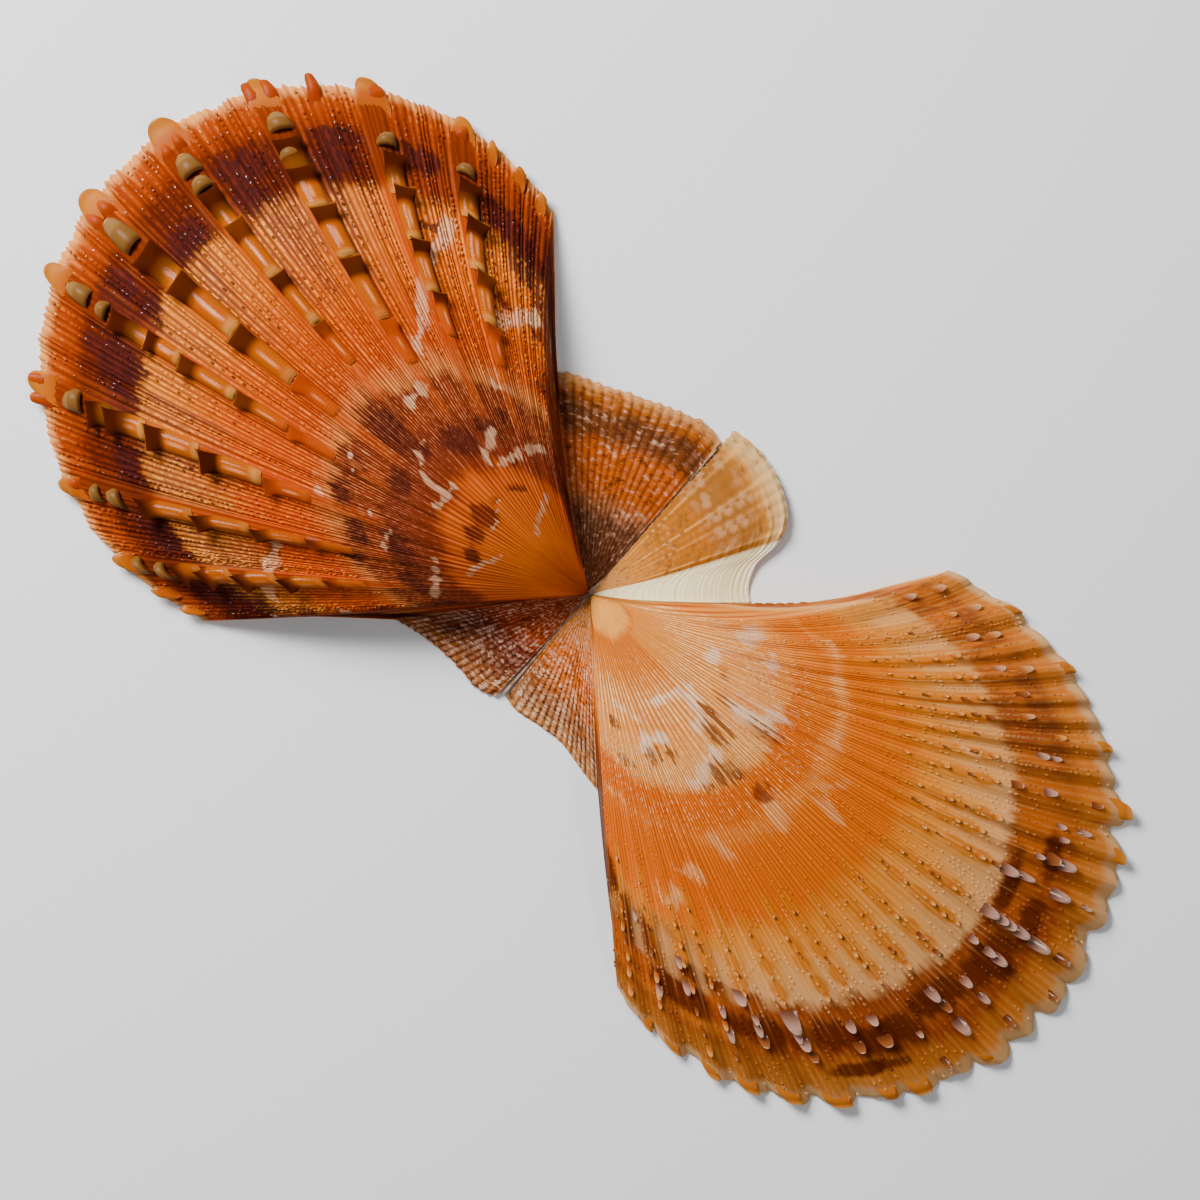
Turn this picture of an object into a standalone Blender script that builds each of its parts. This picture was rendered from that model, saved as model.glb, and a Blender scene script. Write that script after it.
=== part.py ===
"""A scallop shell opened flat: its two valves lie outer side up, hinge to hinge, held by the ligament.

The hinge runs along Y, with the front (byssal) ears at +Y. The coarse-ribbed left valve lies towards -X and
the fine-ribbed right valve towards +X. The origin is the middle of the hinge, on the surface that the rims
lie on.

A valve grows by repeating its rim at a larger size, so every point of it is a place on the rim (a column) at
an age from 0 at the beak to 1 at today's rim. Each column's path from the beak bends a little on its way.
"""

import math

import bmesh
import bpy
import numpy as np

MM = 0.001

# Both valves. SPAN is the length that the outlines are shares of, close to one valve's height.
SPAN = 76.0 * MM
HINGE_GAP = 0.45 * MM
HINGE_BOW = 0.5 * MM
BOW_REACH = 20.0 * MM
BOW_FADE = 18.0 * MM
DISC_WALL = 1.2 * MM
EAR_WALL = 0.95 * MM
RIM_WALL_SHARE = 0.6
BEAK_WALL_SHARE = 0.45
FULL_WALL_AGE = 0.10
DOME_POWER = 0.6
EAR_FLATTENING = 0.45
PLATE_FLAT = 2.8 * MM
PLATE_END = 6.5 * MM

# The ligament: a thin strip between the hinge edges, and the rubbery pad in the pits under the beaks.
STRIP_HALF = 0.15 * MM
STRIP_BACK = -15.5 * MM
STRIP_FRONT = 22.5 * MM
STRIP_HEIGHT = 0.8 * MM
PAD_REACH = 2.3 * MM
PAD_HALF_INNER = 1.0 * MM
PAD_HALF_OUTER = 2.1 * MM
FIT_GAP = 0.3 * MM

AGES = (0.02, 0.05, 0.09, 0.14, 0.20, 0.27, 0.34, 0.41, 0.48, 0.55, 0.62, 0.69, 0.75, 0.81, 0.87, 0.92, 0.965, 1.0)
EAR_COLUMNS = 6
SHOULDER_COLUMNS = 4
INNER_EVERY = 3

# Rim points are (angle from the valve's middle line, share of SPAN from the beak). On the shoulders, where the
# disc meets an ear, a third number is how far the point's growth path bends, in degrees.
# Left valve: nine strong ribs with lipped scales. A rib's place is its angle round the centre of the disc.
LEFT = {
    "name": "left_valve",
    "side": -1,
    "dome": 0.50,
    "disc_centre": 0.541,
    "disc_radius": 0.430,
    "disc_turn": -0.7,
    "bend": 5.0,
    "front_shoulder": (
        (41.4, 0.342, 4.4),
        (42.1, 0.400, 9.7),
        (42.9, 0.460, 11.3),
        (43.5, 0.520, 12.6),
        (44.0, 0.582, 13.6),
    ),
    "back_shoulder": ((-45.4, 0.592, 2.0), (-45.8, 0.500, 2.0), (-46.3, 0.420, 2.0), (-49.5, 0.298, 1.0)),
    "front_ear": ((89.6, 0.310), (86.0, 0.316), (76.0, 0.310), (62.0, 0.311), (52.0, 0.321), (46.0, 0.335)),
    "back_ear": ((-54.0, 0.272), (-64.0, 0.240), (-72.0, 0.229), (-83.0, 0.225), (-89.6, 0.214)),
    "ear_lift": 0.5 * MM,
    "ribs": (76.6, 58.5, 36.9, 15.7, -5.0, -20.5, -44.5, -66.0, -84.0),
    "rib_crest": 3.0,
    "rib_foot": 5.2,
    "rib_height": 1.35 * MM,
    "lobe": 0.006,
    "fill_columns": 3,
    "scale_height": 1.9 * MM,
    "scale_lean": 1.2 * MM,
    # For each rib, the ages of the scales that stand on it.
    "scales": (
        (0.66, 0.78, 0.85, 0.985),
        (0.62, 0.72, 0.80, 0.87, 0.985),
        (0.58, 0.64, 0.74, 0.84, 0.92, 0.985),
        (0.62, 0.71, 0.79, 0.87, 0.985),
        (0.58, 0.66, 0.77, 0.84, 0.92, 0.985),
        (0.66, 0.75, 0.92, 0.985),
        (0.57, 0.66, 0.84, 0.90, 0.985),
        (0.66, 0.78, 0.86, 0.985),
        (0.72, 0.80, 0.87, 0.985),
    ),
}

# Right valve: flatter, with many finer ribs, small scales near the rim and the byssal notch in its front ear.
RIGHT_RIB_COUNT = 22
RIGHT_RIB_FIRST = 92.0
RIGHT_RIB_STEP = 8.75
RIGHT = {
    "name": "right_valve",
    "side": 1,
    "dome": 0.41,
    "disc_centre": 0.5186,
    "disc_radius": 0.427,
    "disc_turn": -1.8,
    "bend": 4.0,
    "front_shoulder": (
        (38.6, 0.244, 3.4),
        (39.3, 0.321, 10.0),
        (41.3, 0.400, 16.0),
        (43.6, 0.476, 20.5),
        (45.0, 0.545, 22.5),
    ),
    "back_shoulder": ((-44.8, 0.600, 1.2), (-45.6, 0.510, 1.4), (-46.4, 0.420, 1.6), (-47.6, 0.300, 2.4)),
    "front_ear": (
        (89.6, 0.338),
        (84.0, 0.341),
        (72.0, 0.334),
        (63.0, 0.321),
        (57.5, 0.297),
        (52.0, 0.255),
        (44.0, 0.240),
    ),
    "back_ear": ((-53.0, 0.267), (-62.0, 0.229), (-72.0, 0.215), (-84.0, 0.211), (-89.6, 0.204)),
    "ear_lift": 1.0 * MM,
    "ribs": tuple(RIGHT_RIB_FIRST - RIGHT_RIB_STEP * n for n in range(RIGHT_RIB_COUNT)),
    "rib_crest": 1.5,
    "rib_foot": RIGHT_RIB_STEP / 2,
    "rib_height": 0.85 * MM,
    "lobe": 0.016,
    "fill_columns": 0,
    "scale_height": 1.5 * MM,
    "scale_lean": 1.1 * MM,
    "scales": tuple(((0.80, 0.985), (0.87, 0.985), (0.84, 0.92))[n % 3] for n in range(RIGHT_RIB_COUNT)),
}


def clear_scene():
    for thing in list(bpy.data.objects):
        bpy.data.objects.remove(thing)


def shell_material(name, colour, roughness):
    material = bpy.data.materials.new(name)
    material.use_nodes = True
    surface = material.node_tree.nodes["Principled BSDF"]
    surface.inputs["Base Color"].default_value = (*colour, 1.0)
    surface.inputs["Roughness"].default_value = roughness
    surface.inputs["Metallic"].default_value = 0.0
    return material


def smooth_step(value, low, high):
    share = np.clip((value - low) / (high - low), 0.0, 1.0)
    return share * share * (3.0 - 2.0 * share)


def polar(degrees, share):
    """A rim point as (away from the hinge, towards the front), in metres."""
    angle = math.radians(degrees)
    return (SPAN * share * math.cos(angle), SPAN * share * math.sin(angle))


def circle_point(valve, degrees):
    """The disc's round rim, at an angle round its own centre."""
    angle = math.radians(degrees)
    centre = polar(valve["disc_turn"], valve["disc_centre"])
    radius = SPAN * valve["disc_radius"]
    return (centre[0] + radius * math.cos(angle), centre[1] + radius * math.sin(angle))


def circle_end(valve, corner):
    """The angle round the disc's centre that faces a shoulder's outer corner."""
    centre = polar(valve["disc_turn"], valve["disc_centre"])
    point = polar(*corner[:2])
    return math.degrees(math.atan2(point[1] - centre[1], point[0] - centre[0]))


def resampled(points, count):
    """Points at equal steps along a path, both ends kept. Any numbers after the first two go along."""
    path = np.array(points, float)
    steps = np.hypot(*np.diff(path[:, :2], axis=0).T)
    along = np.concatenate([[0.0], np.cumsum(steps)])
    at = np.linspace(0.0, along[-1], count)
    return np.stack([np.interp(at, along, path[:, axis]) for axis in range(path.shape[1])], axis=1)


def rib_share(valve, angle):
    """The rib's height at an angle round the disc, from 0 in a furrow to 1 on a crest."""
    nearest = min(abs(angle - place) for place in valve["ribs"])
    slope = (valve["rib_foot"] - nearest) / (valve["rib_foot"] - valve["rib_crest"])
    return min(1.0, max(0.0, slope))


def disc_columns(valve, first, last):
    """Angles round the disc's centre, front to back, and which of them a crest starts at."""
    angles = []
    crests = []
    ribs = valve["ribs"]
    if valve["fill_columns"]:
        angles += list(np.linspace(first, ribs[0] + valve["rib_foot"], 3)[1:-1])
    for number, place in enumerate(ribs):
        angles.append(place + valve["rib_foot"])
        crests.append(len(angles))
        angles += [place + valve["rib_crest"], place - valve["rib_crest"]]
        if valve["fill_columns"]:
            foot = place - valve["rib_foot"]
            following = ribs[number + 1] + valve["rib_foot"] if number + 1 < len(ribs) else last
            angles.append(foot)
            angles += list(np.linspace(foot, following, valve["fill_columns"] + 1)[1:-1])
    return angles, crests


class Rim:
    """Today's rim from the front end of the hinge round to the back end, one entry for each column."""

    def __init__(self, valve):
        front = [(*polar(*place[:2]), place[2]) for place in valve["front_shoulder"]]
        back = [(*polar(*place[:2]), place[2]) for place in valve["back_shoulder"]]
        front_ear = [(*polar(*place), 0.0) for place in valve["front_ear"]]
        back_ear = [(*polar(*place), 0.0) for place in valve["back_ear"]]
        front_ear = resampled([*front_ear, front[0]], EAR_COLUMNS + 1)[:-1]
        back_ear = resampled([back[-1], *back_ear], EAR_COLUMNS + 1)[1:]
        front = resampled(front, SHOULDER_COLUMNS + 1)
        back = resampled(back, SHOULDER_COLUMNS + 1)
        first = circle_end(valve, valve["front_shoulder"][-1])
        last = circle_end(valve, valve["back_shoulder"][0])
        places, crests = disc_columns(valve, first, last)
        disc = np.array([circle_point(valve, place) for place in places])
        disc_angle = np.degrees(np.arctan2(disc[:, 1], disc[:, 0]))
        corners = (valve["back_shoulder"][0], valve["front_shoulder"][-1])
        bends = (corners[0][2], valve["bend"], corners[1][2])
        disc_bend = np.interp(disc_angle, (corners[0][0], 0.0, corners[1][0]), bends)

        points = np.concatenate([front_ear[:, :2], front[:, :2], disc, back[:, :2], back_ear[:, :2]])
        self.radius = np.hypot(points[:, 0], points[:, 1])
        self.angle = np.degrees(np.arctan2(points[:, 1], points[:, 0]))
        self.bend = np.concatenate([front_ear[:, 2], front[:, 2], disc_bend, back[:, 2], back_ear[:, 2]])
        self.last = len(points) - 1
        self.corner = EAR_COLUMNS + SHOULDER_COLUMNS
        self.crests = [self.corner + 1 + column for column in crests]
        self.ribs = np.zeros(len(points))
        self.ribs[self.corner + 1 : self.corner + 1 + len(disc)] = [rib_share(valve, place) for place in places]
        columns = np.arange(len(points))
        past_notch = np.minimum(columns, self.last - columns) - EAR_COLUMNS
        self.disc = smooth_step(past_notch / SHOULDER_COLUMNS, -0.2, 1.1)
        self.disc_inside = smooth_step(past_notch / SHOULDER_COLUMNS, 0.2, 3.5)
        self.lift = np.where(columns < EAR_COLUMNS, np.sin(math.pi * columns / EAR_COLUMNS), 0.0)


def grown(valve, rim, age, disc):
    """The bare dome's points at an age, as (away from the hinge, towards the front, up)."""
    radius = age * rim.radius * (1.0 + valve["lobe"] * rim.ribs)
    angle = np.radians(rim.angle - rim.bend * (1.0 - age))
    away = radius * np.cos(angle)
    slope = valve["dome"] * age ** (DOME_POWER - 1.0) * (1.0 - age)
    level = EAR_FLATTENING + (1.0 - EAR_FLATTENING) * disc
    up = away * slope * level + valve["ear_lift"] * rim.lift * age**2
    return np.stack([away, radius * np.sin(angle), up], axis=1)


def outer_points(valve, rim, age):
    """The outer face at an age: the dome raised by the wall and the ribs."""
    wall = EAR_WALL + (DISC_WALL - EAR_WALL) * rim.disc
    wall *= BEAK_WALL_SHARE + (1.0 - BEAK_WALL_SHARE) * min(1.0, age / FULL_WALL_AGE)
    wall *= 1.0 - (1.0 - RIM_WALL_SHARE) * smooth_step(age, 0.7, 1.0)
    points = grown(valve, rim, age, rim.disc)
    points[:, 2] += wall + valve["rib_height"] * rim.ribs * age**0.8
    return points


def inner_points(valve, rim, age):
    """The inner face at an age: the dome with softer shoulders, filled down to a flat plate along the hinge."""
    points = grown(valve, rim, age, rim.disc_inside)
    points[:, 2] *= smooth_step(points[:, 0], PLATE_FLAT, PLATE_END)
    return points


def placed(valve, point):
    """From a valve's own directions to the object's frame. The hinge edges bow apart towards their ends."""
    away, front, up = point
    bow = HINGE_BOW * (front / BOW_REACH) ** 2 * max(0.0, 1.0 - away / BOW_FADE)
    return (valve["side"] * (HINGE_GAP + bow + away), front, up)


def valve_mesh(valve):
    """One closed wall: outer face, inner face, and the edge that joins them round the rim and along the hinge."""
    rim = Rim(valve)
    mesh = bmesh.new()

    def add_face(corners, turned=False):
        mesh.faces.new(corners[::-1] if turned != (valve["side"] > 0) else corners)

    def add_rows(point_rows, columns):
        return [[mesh.verts.new(placed(valve, row[column])) for column in columns] for row in point_rows]

    outer = add_rows([outer_points(valve, rim, age) for age in AGES], range(rim.last + 1))
    disc_inside = range(rim.corner + INNER_EVERY, rim.last - rim.corner, INNER_EVERY)
    kept = [*range(rim.corner + 1), *disc_inside, *range(rim.last - rim.corner, rim.last + 1)]
    inner = add_rows([inner_points(valve, rim, age) for age in AGES], kept)
    outer_beak = mesh.verts.new(placed(valve, (0.0, 0.0, EAR_WALL * BEAK_WALL_SHARE)))
    inner_beak = mesh.verts.new(placed(valve, (0.0, 0.0, 0.0)))

    steps = range(len(AGES) - 1)
    crest_faces = {}
    for j in range(rim.last):
        add_face([outer_beak, outer[0][j], outer[0][j + 1]])
        for i in steps:
            corners = [outer[i][j], outer[i + 1][j], outer[i + 1][j + 1], outer[i][j + 1]]
            add_face(corners)
            if j in rim.crests:
                crest_faces[(rim.crests.index(j), i)] = corners
    for k in range(len(kept) - 1):
        add_face([inner_beak, inner[0][k + 1], inner[0][k]])
        for i in steps:
            add_face([inner[i][k], inner[i][k + 1], inner[i + 1][k + 1], inner[i + 1][k]])
        edge = [outer[-1][j] for j in range(kept[k], kept[k + 1] + 1)]
        add_face([inner[-1][k], inner[-1][k + 1], *edge[::-1]])
    for end, turned in ((0, False), (-1, True)):
        add_face([inner_beak, inner[0][end], outer[0][end], outer_beak], turned)
        for i in steps:
            add_face([inner[i][end], inner[i + 1][end], outer[i + 1][end], outer[i][end]], turned)
    raise_scales(mesh, valve, crest_faces)
    return mesh


def raise_scales(mesh, valve, crest_faces):
    """Each scale is the patch of rib under it, drawn up and out towards the rim and narrowed to a lip."""
    for rib, ages in enumerate(valve["scales"]):
        for age in ages:
            row = min(range(len(AGES) - 1), key=lambda i: abs((AGES[i] + AGES[i + 1]) / 2 - age))
            corners = crest_faces[(rib, row)]
            patch = next(face for face in corners[0].link_faces if set(face.verts) == set(corners))
            outward = ((corners[1].co + corners[2].co) - (corners[0].co + corners[3].co)).normalized()
            lip = bmesh.ops.extrude_discrete_faces(mesh, faces=[patch])["faces"][0]
            lip.normal_update()
            middle = lip.calc_center_median()
            size = 0.45 + 0.55 * age
            rise = lip.normal * valve["scale_height"] * size + outward * valve["scale_lean"] * size
            for vertex in lip.verts:
                vertex.co = middle + (vertex.co - middle) * 0.62 + rise


def add_object(name, mesh, material):
    bmesh.ops.triangulate(mesh, faces=[face for face in mesh.faces if len(face.verts) > 4])
    data = bpy.data.meshes.new(name)
    mesh.to_mesh(data)
    mesh.free()
    data.materials.append(material)
    data.shade_smooth()
    data.set_sharp_from_angle(angle=math.radians(35.0))
    thing = bpy.data.objects.new(name, data)
    bpy.context.scene.collection.objects.link(thing)
    return thing


def ligament_outline(spread):
    """The strip with the pad's bow tie across its middle, each edge moved out by spread."""
    half = STRIP_HALF + spread
    bow_tie = [(half, PAD_HALF_INNER + spread), (PAD_REACH + spread, PAD_HALF_OUTER + spread)]
    front = [(half, STRIP_FRONT + spread), (-half, STRIP_FRONT + spread)]
    back = [(-half, STRIP_BACK - spread), (half, STRIP_BACK - spread)]
    left = [(-x, y) for x, y in bow_tie] + [(-x, -y) for x, y in bow_tie[::-1]]
    right = [(x, -y) for x, y in bow_tie] + [(x, y) for x, y in bow_tie[::-1]]
    return front + left + back + right


def prism(outline, bottom, top):
    mesh = bmesh.new()
    face = mesh.faces.new([mesh.verts.new((x, y, bottom)) for x, y in outline])
    raised = bmesh.ops.extrude_face_region(mesh, geom=[face])["geom"]
    for item in raised:
        if isinstance(item, bmesh.types.BMVert):
            item.co.z = top
    bmesh.ops.recalc_face_normals(mesh, faces=mesh.faces)
    return mesh


def cut_pit(valve, cutter):
    """The pit under the beak that the ligament's pad sits in."""
    cut = valve.modifiers.new("pit", "BOOLEAN")
    cut.operation = "DIFFERENCE"
    cut.solver = "EXACT"
    cut.object = cutter


def main():
    clear_scene()
    orange = shell_material("orange_shell", (0.62, 0.20, 0.035), 0.38)
    amber = shell_material("amber_shell", (0.68, 0.32, 0.10), 0.38)
    horn = shell_material("ligament_horn", (0.20, 0.10, 0.05), 0.5)
    left = add_object("left_valve", valve_mesh(LEFT), orange)
    right = add_object("right_valve", valve_mesh(RIGHT), amber)
    add_object("ligament", prism(ligament_outline(0.0), 0.0, STRIP_HEIGHT), horn)
    cutter = prism(ligament_outline(FIT_GAP), -FIT_GAP, STRIP_HEIGHT + FIT_GAP)
    pit = add_object("pit_cutter", cutter, horn)
    pit.hide_render = True
    pit.display_type = "WIRE"
    cut_pit(left, pit)
    cut_pit(right, pit)


main()
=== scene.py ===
# %% [markdown]
# # A scallop shell, opened flat
#
# The object is the dry shell of a scallop. Its two valves lie outer side up, hinge to hinge, and a thin
# ligament joins them. The left valve is the bright one with strong ribs that carry lipped scales. The right
# valve is paler and flatter, with many low ribs, small clear scales and a notch under its front ear.
#
# Everything is in metres. The hinge runs along Y, with the larger front ears towards +Y. The left valve lies
# towards -X and the right valve towards +X, and both rims lie on the floor at height 0.

# %% Load the solids
import math

import bpy
import numpy as np
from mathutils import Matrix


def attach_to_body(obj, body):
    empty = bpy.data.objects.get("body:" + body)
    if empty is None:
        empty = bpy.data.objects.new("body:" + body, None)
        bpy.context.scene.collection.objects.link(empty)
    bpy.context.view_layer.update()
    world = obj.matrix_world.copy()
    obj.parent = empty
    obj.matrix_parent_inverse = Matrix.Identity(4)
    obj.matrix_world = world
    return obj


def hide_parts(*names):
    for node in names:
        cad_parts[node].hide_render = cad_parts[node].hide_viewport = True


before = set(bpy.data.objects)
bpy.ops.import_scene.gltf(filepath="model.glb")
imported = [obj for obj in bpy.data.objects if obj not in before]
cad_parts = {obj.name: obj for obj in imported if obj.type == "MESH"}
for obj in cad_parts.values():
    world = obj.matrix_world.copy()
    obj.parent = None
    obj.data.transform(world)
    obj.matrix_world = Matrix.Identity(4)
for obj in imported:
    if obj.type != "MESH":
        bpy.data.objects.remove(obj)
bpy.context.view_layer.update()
MM = 0.001

# %% [markdown]
# ## Camera
#
# The shell is seen from straight above. The camera hangs over the middle of the picture and is turned so that
# the hinge climbs to the right. A long lens at arm's length keeps the domes from swelling too much towards
# the eye, as a careful photographer would choose for a record picture.

# %% Camera
CAMERA_HEIGHT = 0.45
PICTURE_WIDTH = 0.1406
PICTURE_TURN = math.radians(41.0)
HINGE_IN_PICTURE = (-0.0012, 0.0007)
SENSOR_WIDTH = 36.0

picture_right = np.array([math.cos(PICTURE_TURN), math.sin(PICTURE_TURN)])
picture_up = np.array([-math.sin(PICTURE_TURN), math.cos(PICTURE_TURN)])
middle = -(HINGE_IN_PICTURE[0] * picture_right + HINGE_IN_PICTURE[1] * picture_up)
lens = bpy.data.cameras.new("camera")
lens.sensor_width = SENSOR_WIDTH
lens.lens = SENSOR_WIDTH * CAMERA_HEIGHT / PICTURE_WIDTH
camera = bpy.data.objects.new("camera", lens)
camera.location = (*middle, CAMERA_HEIGHT)
camera.rotation_euler = (0.0, 0.0, PICTURE_TURN)
bpy.context.scene.collection.objects.link(camera)
bpy.context.scene.camera = camera
print("lens", round(lens.lens, 1), "mm at", CAMERA_HEIGHT, "m")

# %% [markdown]
# ## Floor and light
#
# The floor is a plain pale sheet. The light is one broad soft lamp from the upper left of the picture, a weak
# one from the other side, and a pale surrounding. A broad lamp keeps the shadows soft, and still leaves a
# small glint on each smooth scale.

# %% Floor and lamps
FLOOR_SIZE = 3.0
SKY_COLOUR = (0.92, 0.95, 1.0, 1.0)
SKY_STRENGTH = 0.3


def deselect_all():
    for thing in bpy.context.selected_objects:
        thing.select_set(False)


def add_lamp(name, right, up, height, size, power):
    """A soft square lamp that looks at the hinge. right and up are its metres from there in the picture."""
    lamp = bpy.data.lights.new(name, "AREA")
    lamp.size = size
    lamp.energy = power
    thing = bpy.data.objects.new(name, lamp)
    x, y = right * picture_right + up * picture_up
    thing.location = (x, y, height)
    tilt = math.acos(height / np.linalg.norm([x, y, height]))
    thing.rotation_euler = (tilt, 0.0, math.atan2(y, x) + math.pi / 2)
    bpy.context.scene.collection.objects.link(thing)


deselect_all()
bpy.ops.mesh.primitive_plane_add(size=FLOOR_SIZE, location=(0.0, 0.0, 0.0))
floor = bpy.context.object
floor.name = "floor"
add_lamp("main_lamp", -0.27, 0.29, 0.31, 0.22, 5.9)
add_lamp("weak_lamp", 0.5, -0.2, 0.8, 0.12, 1.0)
world = bpy.data.worlds.new("surroundings")
world.use_nodes = True
sky = world.node_tree.nodes["Background"].inputs
sky["Color"].default_value = SKY_COLOUR
sky["Strength"].default_value = SKY_STRENGTH
bpy.context.scene.world = world
print("floor and two lamps")

# %% [markdown]
# ## Shader maths as expressions
#
# A finish is worked out by a net of nodes. Drawing the net in code is long, so a small class stands for one
# socket, and its operators add the Math nodes. `Finish` holds a material and adds every other node.

# %% A socket that can be calculated with
def operator(word, flipped=False):
    """A method that adds a Math node. The flipped form serves a plain number on the left."""

    def method(self, other):
        return self.finish.maths(word, *((other, self) if flipped else (self, other)))

    return method


class Value:
    """One output socket. Adding, multiplying and so on make Math nodes."""

    __add__ = __radd__ = operator("ADD")
    __mul__ = __rmul__ = operator("MULTIPLY")
    __sub__ = operator("SUBTRACT")
    __rsub__ = operator("SUBTRACT", flipped=True)
    __truediv__ = operator("DIVIDE")
    __pow__ = operator("POWER")

    def __init__(self, finish, socket):
        self.finish = finish
        self.socket = socket

    def maths(self, word, *others):
        return self.finish.maths(word, self, *others)

    def step(self, low, high):
        """0 below low, 1 above high, and a smooth climb between. With low above high it falls."""
        inputs = {"Value": self, "From Min": low, "From Max": high}
        return self.finish.add("ShaderNodeMapRange", {"interpolation_type": "SMOOTHSTEP"}, inputs)

    def within(self, low, high, soft):
        """1 between low and high, with soft edges."""
        return self.step(low - soft, low + soft) * self.step(high + soft, high - soft)


class Finish:
    """A material, its shader, and the ways to add nodes to it. A colour is three numbers or a Value."""

    def __init__(self, name, **constants):
        self.material = bpy.data.materials.new(name)
        self.material.use_nodes = True
        self.tree = self.material.node_tree
        self.shader = self.tree.nodes["Principled BSDF"].inputs
        for socket, value in constants.items():
            self.put(self.shader[socket.replace("_", " ")], value)

    def put(self, socket, value):
        if isinstance(value, Value):
            self.tree.links.new(value.socket, socket)
        else:
            socket.default_value = (*value, 1) if isinstance(value, tuple) else value

    def add(self, kind, settings, inputs, output=0):
        """The one way to a node: its type, its settings, and the values or links of its sockets."""
        node = self.tree.nodes.new(kind)
        for setting, value in settings.items():
            if setting == "stops":
                elements = node.color_ramp.elements
                while len(elements) < len(value):
                    elements.new(1.0)
                for element, (place, *colour) in zip(elements, value):
                    element.position = place
                    element.color = (*colour, 1)
            else:
                setattr(node, setting, value)
        for socket, value in inputs.items():
            self.put(node.inputs[socket], value)
        return Value(self, node.outputs[output])

    def maths(self, word, *values):
        return self.add("ShaderNodeMath", {"operation": word}, dict(enumerate(values)))

    def attribute(self, name):
        return self.add("ShaderNodeAttribute", {"attribute_name": name}, {}, output="Fac")

    def ramp(self, value, stops):
        """A colour for each value, from stops of (place, red, green, blue)."""
        return self.add("ShaderNodeValToRGB", {"stops": stops}, {"Fac": value})

    def mix(self, share, first, second):
        settings = {"data_type": "RGBA", "clamp_factor": True}
        return self.add("ShaderNodeMix", settings, {0: share, 6: first, 7: second}, output=2)

    def over(self, colour, *washes):
        """Lays washes over a colour, one after another. A wash is (share, colour)."""
        for share, wash in washes:
            colour = self.mix(share, colour, wash)
        return colour

    def vector(self, *place):
        return self.add("ShaderNodeCombineXYZ", {}, dict(enumerate(place)))

    def noise(self, place, detail=2, roughness=0.5, scale=1):
        """Cloudy numbers around 0.5. The place is a Value, or two or three numbers or Values."""
        if isinstance(place, tuple):
            place = self.vector(*place)
        inputs = {"Vector": place, "Scale": scale, "Detail": detail, "Roughness": roughness}
        return self.add("ShaderNodeTexNoise", {}, inputs)

    def drive(self, socket, value):
        self.put(self.shader[socket], value)

    def bump(self, height, distance, strength):
        inputs = {"Height": height, "Distance": distance, "Strength": strength}
        self.drive("Normal", self.add("ShaderNodeBump", {}, inputs))

    def cover(self, *things):
        """Gives the finish to things, in place of what they wore."""
        for thing in things:
            thing.data.materials.clear()
            thing.data.materials.append(self.material)

    def colours(self, colour, *things):
        """Takes a colour as the shader's own and covers things with the finish."""
        self.drive("Base Color", colour)
        self.cover(*things)


Finish("pale_sheet", Roughness=0.8, Base_Color=(0.85, 0.86, 0.87)).cover(floor)
print("floor finish", floor.data.materials[0].name)

# %% [markdown]
# ## How a valve grows
#
# A scallop adds new shell only along its rim, so each young rim is a smaller copy of today's, and every point
# of a valve has two numbers: its place along the rim (a column) and its age, from 0 at the beak to 1 at the
# rim. Each column's path bends a little as the shell grows. That is how the surface is made here: the rim is
# drawn once, and every age of it is placed by one formula. A grid that follows growth also puts ribs, scales
# and colour bands where a real shell has them, which a sculpted dome would not.

# %% Measures of both valves
SPAN = 76.0 * MM
HINGE_GAP = 0.45 * MM
HINGE_BOW = 0.5 * MM
BOW_REACH = 20.0 * MM
BOW_FADE = 18.0 * MM
DISC_WALL = 1.2 * MM
EAR_WALL = 0.95 * MM
RIM_WALL_SHARE = 0.6
BEAK_WALL_SHARE = 0.45
FULL_WALL_AGE = 0.10
DOME_POWER = 0.6
EAR_FLATTENING = 0.45
EAR_COLUMNS = 64
SHOULDER_COLUMNS = 14
RIBLETS = 144

# Points of the rim are (angle in degrees, share of SPAN), and those of the shoulders have a third number:
# how many degrees a column's path bends between the beak and the rim.
LEFT = {
    "side": -1,
    "dome": 0.50,
    "disc_centre": 0.541,
    "disc_radius": 0.430,
    "disc_turn": -0.7,
    "bend": 5.0,
    "front_shoulder": (
        (41.4, 0.342, 4.4), (42.1, 0.4, 9.7), (42.9, 0.46, 11.3), (43.5, 0.52, 12.6), (44, 0.582, 13.6)
    ),
    "back_shoulder": ((-45.4, 0.592, 2), (-45.8, 0.5, 2), (-46.3, 0.42, 2), (-49.5, 0.298, 1)),
    "front_ear": ((89.6, 0.31), (86, 0.316), (76, 0.31), (62, 0.311), (52, 0.321), (46, 0.335)),
    "back_ear": ((-54, 0.272), (-64, 0.24), (-72, 0.229), (-83, 0.225), (-89.6, 0.214)),
    "ear_lift": 0.5 * MM,
}
RIGHT = {
    "side": 1,
    "dome": 0.41,
    "disc_centre": 0.5186,
    "disc_radius": 0.427,
    "disc_turn": -1.8,
    "bend": 4.0,
    "front_shoulder": (
        (38.6, 0.244, 3.4), (39.3, 0.321, 10), (41.3, 0.4, 16), (43.6, 0.476, 20.5), (45, 0.545, 22.5)
    ),
    "back_shoulder": ((-44.8, 0.6, 1.2), (-45.6, 0.51, 1.4), (-46.4, 0.42, 1.6), (-47.6, 0.3, 2.4)),
    "front_ear": ((89.6, 0.338), (84, 0.341), (72, 0.334), (63, 0.321), (57.5, 0.297), (52, 0.255), (44, 0.24)),
    "back_ear": ((-53, 0.267), (-62, 0.229), (-72, 0.215), (-84, 0.211), (-89.6, 0.204)),
    "ear_lift": 1.0 * MM,
}
print("span", SPAN, "m, riblets on each disc", RIBLETS)


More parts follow.
